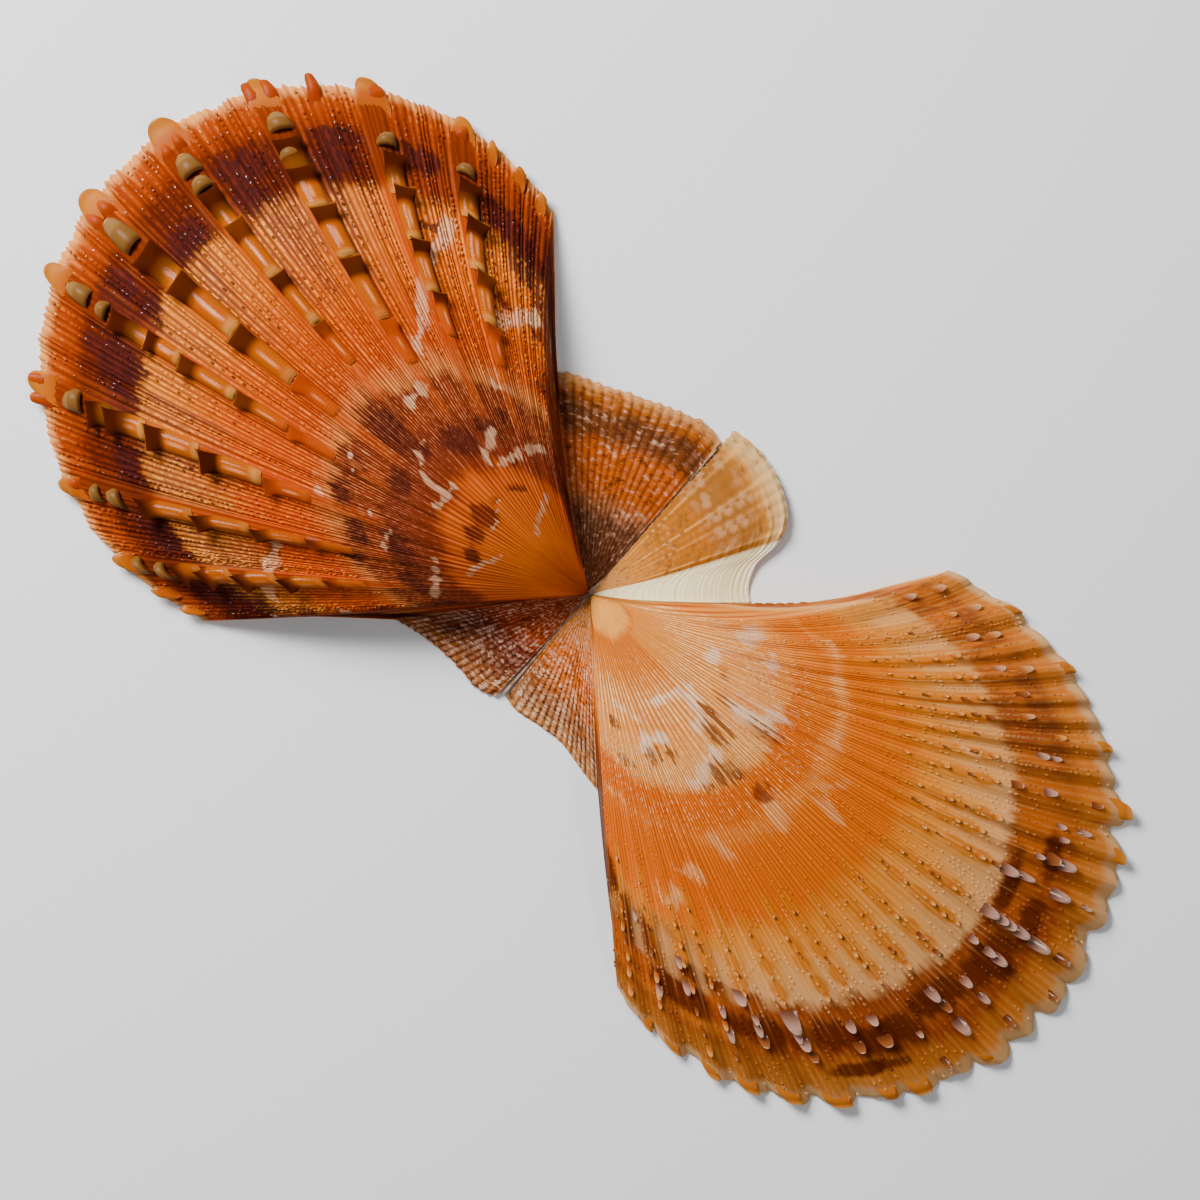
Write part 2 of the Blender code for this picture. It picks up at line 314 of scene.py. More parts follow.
# %% Curves through a few points
def smooth_step(value, low, high):
    share = np.clip((value - low) / (high - low), 0.0, 1.0)
    return share * share * (3.0 - 2.0 * share)


def polar(place):
    """(angle in degrees, share of SPAN, ...) as (away from the hinge, towards the front, ...)."""
    angle = math.radians(place[0])
    return (SPAN * place[1] * math.cos(angle), SPAN * place[1] * math.sin(angle), *place[2:])


def running_length(steps):
    return np.concatenate([[0.0], np.cumsum(steps)])


def smooth_path(points, count):
    """A smooth curve through the points, cut at equal steps. Numbers after the first two go along."""
    path = np.array(points, float)
    knots = running_length(np.sqrt(np.hypot(*np.diff(path[:, :2], axis=0).T)))
    slopes = np.gradient(path, knots, axis=0)
    at = np.linspace(0.0, knots[-1], 400)
    spot = np.clip(np.searchsorted(knots, at, side="right") - 1, 0, len(knots) - 2)
    width = (knots[spot + 1] - knots[spot])[:, None]
    share = ((at - knots[spot]) / width[:, 0])[:, None]
    start, end = path[spot], path[spot + 1]
    leave, arrive = slopes[spot] * width, slopes[spot + 1] * width
    curve = start + share * leave + share**2 * (3 * (end - start) - 2 * leave - arrive)
    curve += share**3 * (2 * (start - end) + leave + arrive)
    along = running_length(np.hypot(*np.diff(curve[:, :2], axis=0).T))
    even = np.linspace(0.0, along[-1], count)
    return np.stack([np.interp(even, along, curve[:, axis]) for axis in range(curve.shape[1])], axis=1)


def wobble(place, seed, pitch):
    """A smooth, repeatable up and down between about -1 and 1, with bumps about pitch apart."""
    chance = np.random.default_rng(seed)
    total = 0.0
    for _ in range(5):
        turn = place * 2 * math.pi / (pitch * chance.uniform(0.6, 1.8))
        total = total + np.sin(turn + chance.uniform(0, 6.28))
    return total / 2.6


print("a wobble:", np.round(wobble(np.array([0.0, 1.0, 2.0]), 1, 3.0), 2))


# %% The rim of a valve, column by column
def with_bend(ear, notch):
    """Points of an ear with the bend of their paths, which fades from the notch to the hinge."""
    return [(*p, notch[2] * ((90 - abs(p[0])) / (90 - abs(notch[0]))) ** 2) for p in ear]


def outline(points, columns):
    return smooth_path([polar(point) for point in points], columns + 1)


def riblet_places(first, last):
    """Four columns for each fine riblet. Riblets differ in width, as they do on a real shell."""
    widths = np.random.default_rng(7).uniform(0.55, 1.45, RIBLETS)
    edges = running_length(widths) / widths.sum()
    quarters = np.interp(np.arange(1, 4 * RIBLETS) / 4.0, np.arange(RIBLETS + 1), edges)
    return first + (last - first) * quarters


class Rim:
    """Today's rim from the front end of the hinge round to the back end. `fan` is the angle round the disc's
    centre, and on the ears it goes on at the same number of degrees for each millimetre."""

    def __init__(self, valve):
        self.valve = valve
        shoulder, far_shoulder = valve["front_shoulder"], valve["back_shoulder"]
        front = outline(shoulder, SHOULDER_COLUMNS)
        back = outline(far_shoulder, SHOULDER_COLUMNS)
        front_ear = outline((*with_bend(valve["front_ear"], shoulder[0]), shoulder[0]), EAR_COLUMNS)[:-1]
        back_ear = outline((far_shoulder[-1], *with_bend(valve["back_ear"], far_shoulder[-1])), EAR_COLUMNS)[1:]

        centre = polar((valve["disc_turn"], valve["disc_centre"]))
        size = SPAN * valve["disc_radius"]
        ends = (front[-1], back[0])
        first, last = (math.degrees(math.atan2(p[1] - centre[1], p[0] - centre[0])) for p in ends)
        places = riblet_places(first, last)
        turned = np.radians(places)
        disc = np.stack([np.cos(turned), np.sin(turned)], axis=1) * size + centre
        angle = np.degrees(np.arctan2(disc[:, 1], disc[:, 0]))
        ends = (far_shoulder[0], shoulder[-1])
        bends = np.interp(angle, (ends[0][0], 0.0, ends[1][0]), (ends[0][2], valve["bend"], ends[1][2]))
        disc = np.column_stack([disc, bends])

        rim = np.concatenate([front_ear, front, disc, back, back_ear])
        self.radius = np.hypot(rim[:, 0], rim[:, 1])
        self.angle = np.degrees(np.arctan2(rim[:, 1], rim[:, 0]))
        self.bend = rim[:, 2]
        self.corner = EAR_COLUMNS + SHOULDER_COLUMNS
        self.column = np.arange(len(rim))
        self.past_notch = np.minimum(self.column, len(rim) - 1 - self.column) - EAR_COLUMNS
        self.is_front = self.column < len(rim) / 2
        self.riblet = (self.column - self.corner) / 4.0
        on_disc = slice(self.corner + 1, self.corner + 1 + len(places))
        self.on_disc = np.zeros(len(rim))
        self.on_disc[on_disc] = 1.0
        along = running_length(np.hypot(*np.diff(rim[:, :2], axis=0).T))
        self.fan = first - np.degrees((along - along[self.corner]) / size)
        self.fan[on_disc] = places
        self.disc = smooth_step(self.past_notch / SHOULDER_COLUMNS, -0.2, 1.1)
        self.disc_inside = smooth_step(self.past_notch / SHOULDER_COLUMNS, 0.2, 3.5)
        self.ear = smooth_step(-self.past_notch, -1.0, 1.5)
        self.lift = np.sin(math.pi * np.clip(self.column / EAR_COLUMNS, 0.0, 1.0))


left_rim = Rim(LEFT)
right_rim = Rim(RIGHT)
print("columns:", len(left_rim.fan), "fan", left_rim.fan[0].round(), "to", left_rim.fan[-1].round())


# %% Placing every age of the rim
RIM_ZONE = 0.93


def on_dome(valve, age, radius, angle, bend, disc, lift):
    """Points of the bare dome as (away from the hinge, towards the front, up)."""
    young = np.maximum(0.0, 1.0 - age)
    turned = np.radians(angle - bend * young)
    away = radius * np.cos(turned)
    level = EAR_FLATTENING + (1.0 - EAR_FLATTENING) * disc
    up = away * (valve["dome"] * age ** (DOME_POWER - 1.0) * young) * level
    return np.stack([away, radius * np.sin(turned), up + valve["ear_lift"] * lift * age**2], axis=-1)


def grown(rim, ages, disc, reach=0.0):
    """The bare dome, a row for each age and a column for each point of the rim. reach moves the rim out."""
    age = ages[:, None]
    radius = age * rim.radius * (1.0 + reach * smooth_step(age, RIM_ZONE, 1.0))
    return on_dome(rim.valve, age, radius, rim.angle, rim.bend, disc, rim.lift)


def wall_thickness(age, disc):
    wall = EAR_WALL + (DISC_WALL - EAR_WALL) * disc
    wall = wall * (BEAK_WALL_SHARE + (1.0 - BEAK_WALL_SHARE) * np.minimum(1.0, age / FULL_WALL_AGE))
    return wall * (1.0 - (1.0 - RIM_WALL_SHARE) * smooth_step(age, 0.7, 1.0))


def placed(valve, points):
    """From a valve's own directions to the scene's. The hinge edges bow apart towards their ends."""
    away, front, up = points[..., 0], points[..., 1], points[..., 2]
    bow = HINGE_BOW * (front / BOW_REACH) ** 2 * np.maximum(0.0, 1.0 - away / BOW_FADE)
    return np.stack([valve["side"] * (HINGE_GAP + bow + away), front, up], axis=-1)


dome = grown(left_rim, np.linspace(0.02, 1.0, 60), left_rim.disc)[..., 2].max()
print("left dome", round(float(dome / MM), 1), "mm high")

# %% [markdown]
# ## Any spot on a valve
#
# Ribs, scales and spines sit on the dome, so they need to find it. A spot is given by its fan angle and its
# age, and a height above the wall. Small parts are modelled flat and upright once, and then each copy is laid
# over the dome with this function, so it follows the curve of the shell like the real ones, which were part
# of the rim when they formed.


# %% Finding a spot on the dome
SMALL_AGE, SMALL_TURN = 0.004, 0.3


def surface(rim, fan, age):
    """The outer face without ribs, for equal arrays of fan angles and ages, in a valve's own directions."""
    column = np.interp(-np.asarray(fan), -rim.fan, rim.column)
    rows = (rim.radius, rim.angle, rim.bend, rim.disc, rim.lift)
    radius, angle, bend, disc, lift = (np.interp(column, rim.column, row) for row in rows)
    points = on_dome(rim.valve, age, radius * age, angle, bend, disc, lift)
    points[..., 2] += wall_thickness(age, disc)
    return points


def spots(rim, fan, age, height):
    """Points at a height over the outer face, square to it, in the scene's directions."""
    fan, age, height = np.broadcast_arrays(np.asarray(fan, float), age, height)
    here = surface(rim, fan, age)
    along = surface(rim, fan, age + SMALL_AGE) - surface(rim, fan, age - SMALL_AGE)
    across = surface(rim, fan - SMALL_TURN, age) - surface(rim, fan + SMALL_TURN, age)
    normal = np.cross(across, along)
    normal /= np.linalg.norm(normal, axis=-1, keepdims=True)
    normal *= np.sign(normal[..., 2:])
    return placed(rim.valve, here + normal * height[..., None])


print("a spot:", spots(left_rim, 0.0, 0.5, 0.0).round(4))

# %% [markdown]
# ## The body of a valve
#
# A valve is one wall that is folded over at the rim. It starts as a flat grid: its rows are ages, first from
# the beak out to the rim on the outer face and then back on the inner face, and its columns run round the
# rim. Setting each corner of the grid gives both faces and the rim in one mesh with no seam. The open side
# along the hinge is then filled with one face. Fine riblets branch from fewer ones near the beak, and a
# shallow pit under the beak takes the ligament's pad.


# %% Folding a grid into a wall
def attach(mesh, name, values):
    layer = mesh.attributes.new(name, "FLOAT", "POINT")
    layer.data.foreach_set("value", np.ascontiguousarray(values, dtype=np.float32).ravel())


def turn_outwards(sharp, fill=False):
    """Turns the active piece's faces outwards and shades them smooth up to a sharp angle. fill closes an open
    side first."""
    bpy.ops.object.mode_set(mode="EDIT")
    if fill:
        bpy.ops.mesh.select_mode(type="EDGE")
        bpy.ops.mesh.select_all(action="DESELECT")
        bpy.ops.mesh.select_non_manifold()
        bpy.ops.mesh.edge_face_add()
    bpy.ops.mesh.select_all(action="SELECT")
    bpy.ops.mesh.normals_make_consistent(inside=False)
    bpy.ops.object.mode_set(mode="OBJECT")
    bpy.ops.object.shade_smooth_by_angle(angle=math.radians(sharp))


def folded_grid(name, points, values):
    """A grid with one corner for each point, closed along the hinge. `values` become named attributes."""
    rows, columns = points.shape[:2]
    deselect_all()
    bpy.ops.mesh.primitive_grid_add(x_subdivisions=columns - 1, y_subdivisions=rows - 1, size=1.0)
    thing = bpy.context.object
    thing.name = thing.data.name = name
    flat = np.empty(rows * columns * 3)
    thing.data.vertices.foreach_get("co", flat)
    flat = flat.reshape(-1, 3)
    column = np.rint((flat[:, 0] + 0.5) * (columns - 1)).astype(int)
    row = np.rint((flat[:, 1] + 0.5) * (rows - 1)).astype(int)
    thing.data.vertices.foreach_set("co", points[row, column].ravel())
    for key, value in values.items():
        attach(thing.data, key, np.broadcast_to(value, (rows, columns))[row, column])
    turn_outwards(60.0, fill=True)
    thing.data.uv_layers.remove(thing.data.uv_layers[0])
    return thing


def triangles(thing):
    return sum(len(face.vertices) - 2 for face in thing.data.polygons)


FIRST_AGE, GATHERING = 0.004, 0.35


def ages_of_rows(count):
    """Ages from the beak to the rim, closer together towards the rim."""
    share = np.linspace(0.0, 1.0, count)
    return FIRST_AGE + (1.0 - FIRST_AGE) * (share + GATHERING * share * (1.0 - share))


OUTER_AGES = ages_of_rows(100)
INNER_AGES = ages_of_rows(28)[::-1]
COVER, COVER_WIDTH = 0.36 * MM, 4.0 * MM
HINGE_TOOTH = 0.35 * MM
PLATE_FLAT, PLATE_END = 2.8 * MM, 6.5 * MM
PIT_REACH, PIT_HALF_WIDTH, PIT_EDGE, PIT_DEPTH = 2.5 * MM, 2.3 * MM, 0.6 * MM, 0.2 * MM


def wall_of(name, rim, relief, inner_height, reach, rib, **others):
    """The wall of one valve. relief is the height over the plain dome, and reach moves the rim out or in. The
    ribs show on the inner face near the rim, inner_height deep."""
    outer = grown(rim, OUTER_AGES, rim.disc, reach)
    cover = COVER + 1.35 * HINGE_BOW * np.maximum(0.0, outer[..., 1] / BOW_REACH) ** 2
    if rim.valve["side"] > 0:
        teeth = 0.5 + 0.5 * wobble(OUTER_AGES, 71, 0.028)
        cover = cover - np.outer(HINGE_TOOTH * teeth * smooth_step(OUTER_AGES, 0.62, 0.72), rim.is_front)
    outer[..., 0] -= cover * (1.0 - smooth_step(outer[..., 0], 0.0, COVER_WIDTH))
    outer[..., 2] += wall_thickness(OUTER_AGES[:, None], rim.disc) + relief
    inner = grown(rim, INNER_AGES, rim.disc_inside, reach)
    inner[..., 2] *= smooth_step(inner[..., 0], PLATE_FLAT, PLATE_END)
    pit = 1.0 - smooth_step(inner[..., 0], PIT_REACH, PIT_REACH + PIT_EDGE)
    pit = pit * (1.0 - smooth_step(np.abs(inner[..., 1]), PIT_HALF_WIDTH, PIT_HALF_WIDTH + PIT_EDGE))
    inner[..., 2] += inner_height * rib * smooth_step(INNER_AGES[:, None], 0.86, 1.0) + PIT_DEPTH * pit
    ages = np.concatenate([OUTER_AGES, INNER_AGES])[:, None]
    inside = np.arange(len(ages))[:, None] >= len(OUTER_AGES)
    values = {"age": ages, "fan": rim.fan, "riblet": rim.riblet, "ear": rim.ear, "inside": inside, "rib": rib}
    return folded_grid(name, placed(rim.valve, np.concatenate([outer, inner])), {**values, **others})


# %% Riblets and steps of growth
BRANCHING = (0.36, 0.20)
RIBLETS_IN_ONE = 3.0
EAR_RELIEF = 0.10 * MM
STEP_RELIEF = 0.10 * MM


def riblet_wave(rim, group=1):
    """Round riblets of uneven height. With a group above 1 they are that many times as broad."""
    heights = np.random.default_rng(9).uniform(0.35, 1.25, 997)
    strength = heights[np.floor(rim.riblet / group).astype(int) % len(heights)]
    return strength * (0.5 - 0.5 * np.cos(2.0 * math.pi * rim.riblet / group))


def branching_wave(rim):
    """Near the beak one riblet stands where later there are several, because they branch with growth."""
    young = smooth_step(OUTER_AGES, *BRANCHING)[:, None]
    return (riblet_wave(rim, RIBLETS_IN_ONE) * young + riblet_wave(rim) * (1.0 - young)) * rim.on_disc


def ear_wave(rim):
    """Radial riblets on the two ears, four columns each."""
    return riblet_wave(rim) * (rim.past_notch < 0)


def ear_steps(rim, seed, pitch):
    """Low concentric steps on the ears, one for each pause in growth."""
    steps = np.maximum(0.0, wobble(OUTER_AGES, seed, pitch)) * smooth_step(OUTER_AGES, 0.15, 0.4)
    return STEP_RELIEF * steps[:, None] * (rim.past_notch < 2)


def growth_lines(seed, pitch):
    """Fine lines all over the valve, sixty to a whole span."""
    return wobble(OUTER_AGES * 60.0, seed, pitch)[:, None]


print("rows:", len(OUTER_AGES), "outside and", len(INNER_AGES), "inside")

# %% The left wall
LEFT_RIBS = (79.3, 58.8, 36.8, 14.6, -6.6, -22.5, -45.3, -65.5, -86.8)
LEFT_MINOR_RIBS = (47.9, -33.5)
RIBLET_RELIEF = 0.20 * MM
RIB_RELIEF = 0.42 * MM
BUNDLE_RELIEF = 0.22  # millimetres


def rib_share(fan, middles, crest, foot):
    nearest = np.min(np.abs(fan[:, None] - np.array(middles)), axis=1)
    return 1.0 - smooth_step(nearest, crest, foot)


def bundles(fan):
    """Broad, low swells of several riblets."""
    return wobble(fan, 3, 7.0)


def left_body():
    rim, age = left_rim, OUTER_AGES[:, None]
    strong = rib_share(rim.fan, LEFT_RIBS, 2.3, 4.4)
    minor = rib_share(rim.fan, LEFT_MINOR_RIBS, 1.0, 2.6)
    ribs = np.maximum(strong, 0.6 * minor) * rim.on_disc
    wave = branching_wave(rim) * (1.0 - 0.35 * ribs)
    relief = RIBLET_RELIEF * wave * age**0.7 + RIB_RELIEF * ribs * smooth_step(age, 0.1, 0.5)
    relief = relief + BUNDLE_RELIEF * MM * bundles(rim.fan) * rim.on_disc * (1.0 - ribs) * age
    relief = relief + EAR_RELIEF * ear_wave(rim) * age + ear_steps(rim, 41, 0.045)
    relief = relief + 0.05 * MM * growth_lines(11, 1.6) * smooth_step(age, 0.2, 0.5)
    relief = relief - 0.25 * MM * smooth_step(age, 0.975, 1.0)
    fringe = (0.006 * (wave[-1] - 0.5) + 0.004 * wobble(rim.fan, 5, 9.0)) * rim.on_disc
    fringe = fringe + 0.014 * (ear_wave(rim) - 0.5) * (rim.past_notch < 0)
    return wall_of("left_shell", rim, relief, 0.35 * MM, fringe, ribs)


left_shell = left_body()
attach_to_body(left_shell, "root")
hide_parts("left_valve")
print("left wall:", triangles(left_shell), "triangles")

# %% [markdown]
# ## The right wall
#
# The lower valve is flatter. Its two dozen ribs are low and round and end in lobes, and the same fine riblets
# run over ribs and valleys alike. Between its front ear and the disc lies the byssal band: a smooth, sunken
# strip with curved growth lines, where the living animal's threads came out.

# %% The right wall
RIGHT_LOBES = {
    105.6: 0.6, 92.1: 1.0, 82.1: 0.6, 75.7: 0.9, 68.5: 0.6, 63.5: 0.6, 57.5: 0.8, 51.5: 0.5, 44.5: 1.2,
    34.7: 1.0, 29.0: 1.0, 22.0: 0.9, 10.0: 1.1, 2.0: 1.1, -7.2: 0.8, -15.0: 1.3, -23.5: 0.4, -31.5: 0.7,
    -38.0: 0.4, -49.0: 0.8, -58.7: 0.8, -67.8: 0.8, -74.9: 0.8, -86.4: 1.0, -96.0: 0.8,
}
RIGHT_RIBS = tuple(RIGHT_LOBES)
LOBE_HALF = 4.0
RIGHT_RIB_RELIEF = 0.7  # millimetres


def round_lobes(fan):
    """How far the rim stands out: half circles on the ribs' ends, and flat pieces between distant ribs."""
    share = np.abs(fan[:, None] - np.array(RIGHT_RIBS)) / LOBE_HALF
    return np.max(np.sqrt(np.maximum(0.0, 1.0 - share**2)) * np.array(list(RIGHT_LOBES.values())), axis=1)


def round_ribs(fan):
    """1 on each rib's middle and 0 halfway to its neighbour."""
    phase = np.interp(fan, np.sort(RIGHT_RIBS), np.arange(len(RIGHT_RIBS)))
    return 0.5 + 0.5 * np.cos(2.0 * math.pi * phase)


def right_body():
    rim, age = right_rim, OUTER_AGES[:, None]
    ribs = round_ribs(rim.fan) * rim.on_disc
    wave = branching_wave(rim) * (1.0 - 0.3 * ribs)
    band = smooth_step(rim.angle, 60.0, 56.5) * smooth_step(rim.past_notch, 0.5, -1.0) * rim.is_front
    relief = 0.17 * MM * wave * age**0.5 * (1.0 - 0.8 * smooth_step(age, 0.45, 0.7))
    relief = relief + RIGHT_RIB_RELIEF * MM * (ribs - 0.4) * smooth_step(age, 0.25, 1.0)
    relief = relief + 0.6 * EAR_RELIEF * ear_wave(rim) * age * (1.0 - band)
    relief = relief - 0.22 * MM * band * smooth_step(age, 0.1, 0.5) + 0.03 * MM * growth_lines(21, 1.4) * band
    relief = relief + ear_steps(rim, 43, 0.05) * (1.0 - band)
    relief = relief - 0.2 * MM * smooth_step(age, 0.98, 1.0) * (1.0 - band)
    lobes = (0.020 * (round_lobes(rim.fan) - 0.5) + 0.003 * wobble(rim.fan, 6, 5.0)) * rim.on_disc
    lobes = lobes + 0.004 * (ear_wave(rim) - 0.5) * (rim.past_notch < 0) * (1.0 - band)
    return wall_of("right_shell", rim, relief, 0.4 * MM, lobes, ribs, band=band)


right_shell = right_body()
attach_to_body(right_shell, "root")
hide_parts("right_valve")
print("right wall:", triangles(right_shell), "triangles")

# %% [markdown]
# ## Small parts laid on the dome
#
# Each kind of scale is modelled once, lying flat: x runs from its root (0) to its tip (1), y goes across
# (-1 to 1), and z is its height in millimetres. A copy is then laid on the dome by turning x into age, y into
# fan angle and z into height. All copies of one kind are joined, so they are one thing to pick up and finish.
# Each copy keeps a random number of its own, so that the finish can vary from scale to scale.


# %% Laying copies of a scale
def shape_of(thing):
    """The corners and faces of a modelled scale. The model itself is not kept."""
    corners = np.array([tuple(vertex.co) for vertex in thing.data.vertices])
    faces = [tuple(face.vertices) for face in thing.data.polygons]
    bpy.data.objects.remove(thing)
    return corners, faces


def lay_copies(name, shape, rim, places, ground=None):
    """places: rows of (fan, age at the root, age at the tip, half width in fan degrees, height, lean, chance).
    ground tells how many millimetres the ribs and riblets stand over the plain dome at a fan angle and age."""
    corners, faces = shape
    fan, root, tip, half, tall, lean, chance = np.array(places, float).T[:, :, None]
    x, y, z = corners.T
    age = root + (tip - root) * x
    base = ground(np.broadcast_to(fan, age.shape), age) if ground else 0.0
    points = spots(rim, fan + half * y + lean * x * x, age, (z * tall + base) * MM)
    mesh = bpy.data.meshes.new(name)
    jumps = np.arange(len(places)) * len(corners)
    every = [tuple(corner + jump for corner in face) for jump in jumps for face in faces]
    mesh.from_pydata(points.reshape(-1, 3).tolist(), [], every)
    values = {"along": x, "across": np.abs(y), "age": age, "fan": fan, "chance": chance}
    for key, value in values.items():
        attach(mesh, key, np.broadcast_to(value, age.shape))
    thing = bpy.data.objects.new(name, mesh)
    bpy.context.scene.collection.objects.link(thing)
    deselect_all()
    thing.select_set(True)
    bpy.context.view_layer.objects.active = thing
    turn_outwards(50.0)
    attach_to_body(thing, "root")
    return thing


def sheet_scale(across, along, width, height, end, thickness):
    """A scale bent from a flat grid. width, height and end are functions of x, of (x, y) and of y."""
    deselect_all()
    bpy.ops.mesh.primitive_grid_add(x_subdivisions=along, y_subdivisions=across, size=1.0)
    thing = bpy.context.object
    for vertex in thing.data.vertices:
        x = vertex.co.x + 0.5
        y = vertex.co.y * 2.0
        vertex.co = (x * end(y), y * width(x), height(x, y))
    wall = thing.modifiers.new("wall", "SOLIDIFY")
    wall.thickness = thickness
    wall.offset = -1.0
    bpy.ops.object.modifier_apply(modifier=wall.name)
    return shape_of(thing)


def arch(y, fall=1.0):
    """A round arch over y from -1 to 1. With fall below 1 its feet stay off the ground."""
    return math.sqrt(max(0.0, 1.0 - fall * y * y))


print("an arch halfway to its foot:", round(arch(0.5), 3))

# %% [markdown]
# ## Gutter scales of the left valve
#
# Along each strong rib lie smooth bars, one after another like roof tiles. Each one starts rounded, runs on as
# a glossy bar, and ends in a flared lip with sharp corners and a hollow edge. It is bent from one sheet: an
# arch over most of its length that opens into a shallow gutter at the lip.

# %% Gutter scales
GUTTER_BAR = 1.05
GUTTER_LIP = 1.45
FIRST_BAR = 0.085
# for each rib's fan angle: half its width in degrees, and the ages of its lips
LEFT_LIPS = {
    79.3: (3.5, (0.57, 0.68, 0.79, 0.865)),
    60.0: (3.0, (0.60, 0.70, 0.80, 0.865)),
    37.2: (3.8, (0.55, 0.67, 0.765, 0.84, 0.895)),
    15.2: (3.0, (0.59, 0.69, 0.80, 0.865)),
    -6.0: (3.8, (0.555, 0.675, 0.80, 0.87)),
    -22.3: (2.7, (0.53, 0.63, 0.735, 0.80, 0.87)),
    -44.8: (3.6, (0.57, 0.685, 0.785, 0.86, 0.895)),
    -66.0: (2.8, (0.52, 0.625, 0.735, 0.84)),
    -86.5: (3.4, (0.55, 0.65, 0.745, 0.82, 0.87)),
}


def gutter_width(x):
    return 0.78 + 0.10 * smooth_step(x, 0.0, 0.15) + 0.12 * smooth_step(x, 0.72, 1.0)


def gutter_height(x, y):
    opening = smooth_step(x, 0.62, 0.92)
    hollow = 0.86 + 0.10 * y * y
    start = 0.35 + 0.65 * arch(1.0 - min(1.0, x / 0.14))
    crown = GUTTER_BAR * start * (0.9 + 0.1 * x) + (GUTTER_LIP - GUTTER_BAR) * opening * (0.5 + 0.5 * x)
    return crown * ((1.0 - opening) * arch(y, 0.98) + opening * hollow) - 0.05 * (1.0 - opening)


def gutter_places():
    chance = np.random.default_rng(17)
    rows = []
    for fan, (half, lips) in LEFT_LIPS.items():
        lean = np.sign(fan) * (1.4 if abs(fan) > 40 else 0.3)
        root = lips[0] - FIRST_BAR
        for lip in lips:
            grow = 0.30 + 0.70 * min(1.0, max(0.0, (lip - 0.50) / 0.22))
            width = half * (0.84 + 0.12 * grow) * chance.uniform(0.94, 1.05)
            tall = grow * chance.uniform(0.85, 1.1)
            middle = fan + chance.uniform(-0.4, 0.4)
            rows.append((middle, root, lip, width, tall, lean * chance.uniform(0.5, 1.4), chance.random()))
            root = lip + 0.002 if lip < 0.8 else lip - 0.010
    return rows


def rib_ground(fan, age):
    return 0.34 * smooth_step(age, 0.1, 0.5)


gutter = sheet_scale(12, 18, gutter_width, gutter_height, lambda y: 0.955 + 0.045 * y * y, 0.09)
gutter_rows = gutter_places()
gutters = lay_copies("left_gutter_scales", gutter, left_rim, gutter_rows, rib_ground)
print("gutter scales:", len(gutter_rows), "with", triangles(gutters), "triangles")

# %% [markdown]
# ## Rounded tips and rim tabs
#
# Near the rim the scales are young and still rounded: short, clear, olive-coloured knobs in a row, and at the
# end of each rib a tongue that stands out over the rim, with smaller and squarer nubs beside it. All are bent
# from the same kind of sheet, with a round or a square end in place of the hollow one.


# %% Knobs, tabs and nubs
KNOBS = (
    (37.6, 0.915, 0.95, 2.7), (36.8, 0.862, 0.888, 2.6), (15, 0.905, 0.945, 2.6), (15, 0.872, 0.898, 2.6),
    (-6.2, 0.89, 0.955, 2.6), (-22.2, 0.92, 0.965, 2.1), (-22.4, 0.882, 0.905, 2.2),
    (-44.8, 0.91, 0.948, 2.6), (60, 0.882, 0.912, 2.3), (79.4, 0.882, 0.912, 2.3),
    (-66.2, 0.878, 0.912, 2.4), (-66, 0.92, 0.948, 2.1), (-86.6, 0.888, 0.922, 2.5),
    (-85.5, 0.93, 0.962, 2.4),
)
TABS = (
    (79.6, 0.945, 1.02, 3), (59.2, 0.935, 1.024, 3.8), (36.6, 0.94, 1.024, 3.4), (15.2, 0.935, 1.024, 4.3),
    (-5.4, 0.935, 1.02, 4), (-22, 0.945, 1.018, 3), (-44.6, 0.94, 1.022, 3.4), (-66, 0.93, 1.018, 2.8),
    (-85.6, 0.93, 1.018, 3), (94.5, 0.945, 1.013, 1.8), (101.5, 0.945, 1.01, 1.6), (87, 0.95, 1.014, 1.3),
    (-95, 0.94, 1.012, 1.9), (-102, 0.94, 1.012, 1.6),
)
NUBS = (
    (59.8, 0.95, 1.012, 2.6), (47.3, 0.945, 1.022, 1.4), (38.4, 0.95, 1.018, 1.6), (34.8, 0.95, 1.019, 1.6),
    (16.5, 0.94, 0.982, 1.2), (13.2, 0.94, 0.978, 1.1), (-4.3, 0.94, 0.988, 1.5), (-7.8, 0.94, 0.99, 1.4),
    (-43.4, 0.95, 1.02, 1.6), (-47.3, 0.95, 1.021, 1.5), (-65, 0.945, 0.99, 1.4), (79, 0.945, 0.992, 1.5),
)


def knob_height(x, y):
    bulge = math.sin(math.pi * min(1.0, 0.18 + 0.72 * x)) ** 0.7
    return 1.55 * arch(y, 0.97) * bulge - 0.1


def knob_width(x):
    return 0.95 + 0.1 * math.sin(math.pi * x)


def tab_height(x, y):
    rise = smooth_step(x, 0.0, 0.7)
    return 0.85 * arch(y, 0.85) * rise * (1.0 - 0.35 * x * x) - 0.4 * (1.0 - rise) - 0.1


def tab_width(x):
    return 0.86 + 0.16 * math.sin(math.pi * x)


def round_end(y):
    return 0.55 + 0.45 * arch(y)


def square_end(y):
    return 0.84 + 0.16 * arch(y)


def small_scales(name, shape, marks, height, seed):
    """Lays a scale for each mark of (fan, age at the root, age at the tip, half width)."""
    chance = np.random.default_rng(seed)
    rows = []
    for fan, root, tip, half in marks:
        lean = np.sign(fan) * (1.0 if abs(fan) > 40 else 0.2) * chance.uniform(0.3, 1.6)
        rows.append((fan, root, tip, half, height * chance.uniform(0.8, 1.15), lean, chance.random()))
    return lay_copies(name, shape, left_rim, rows, rib_ground)


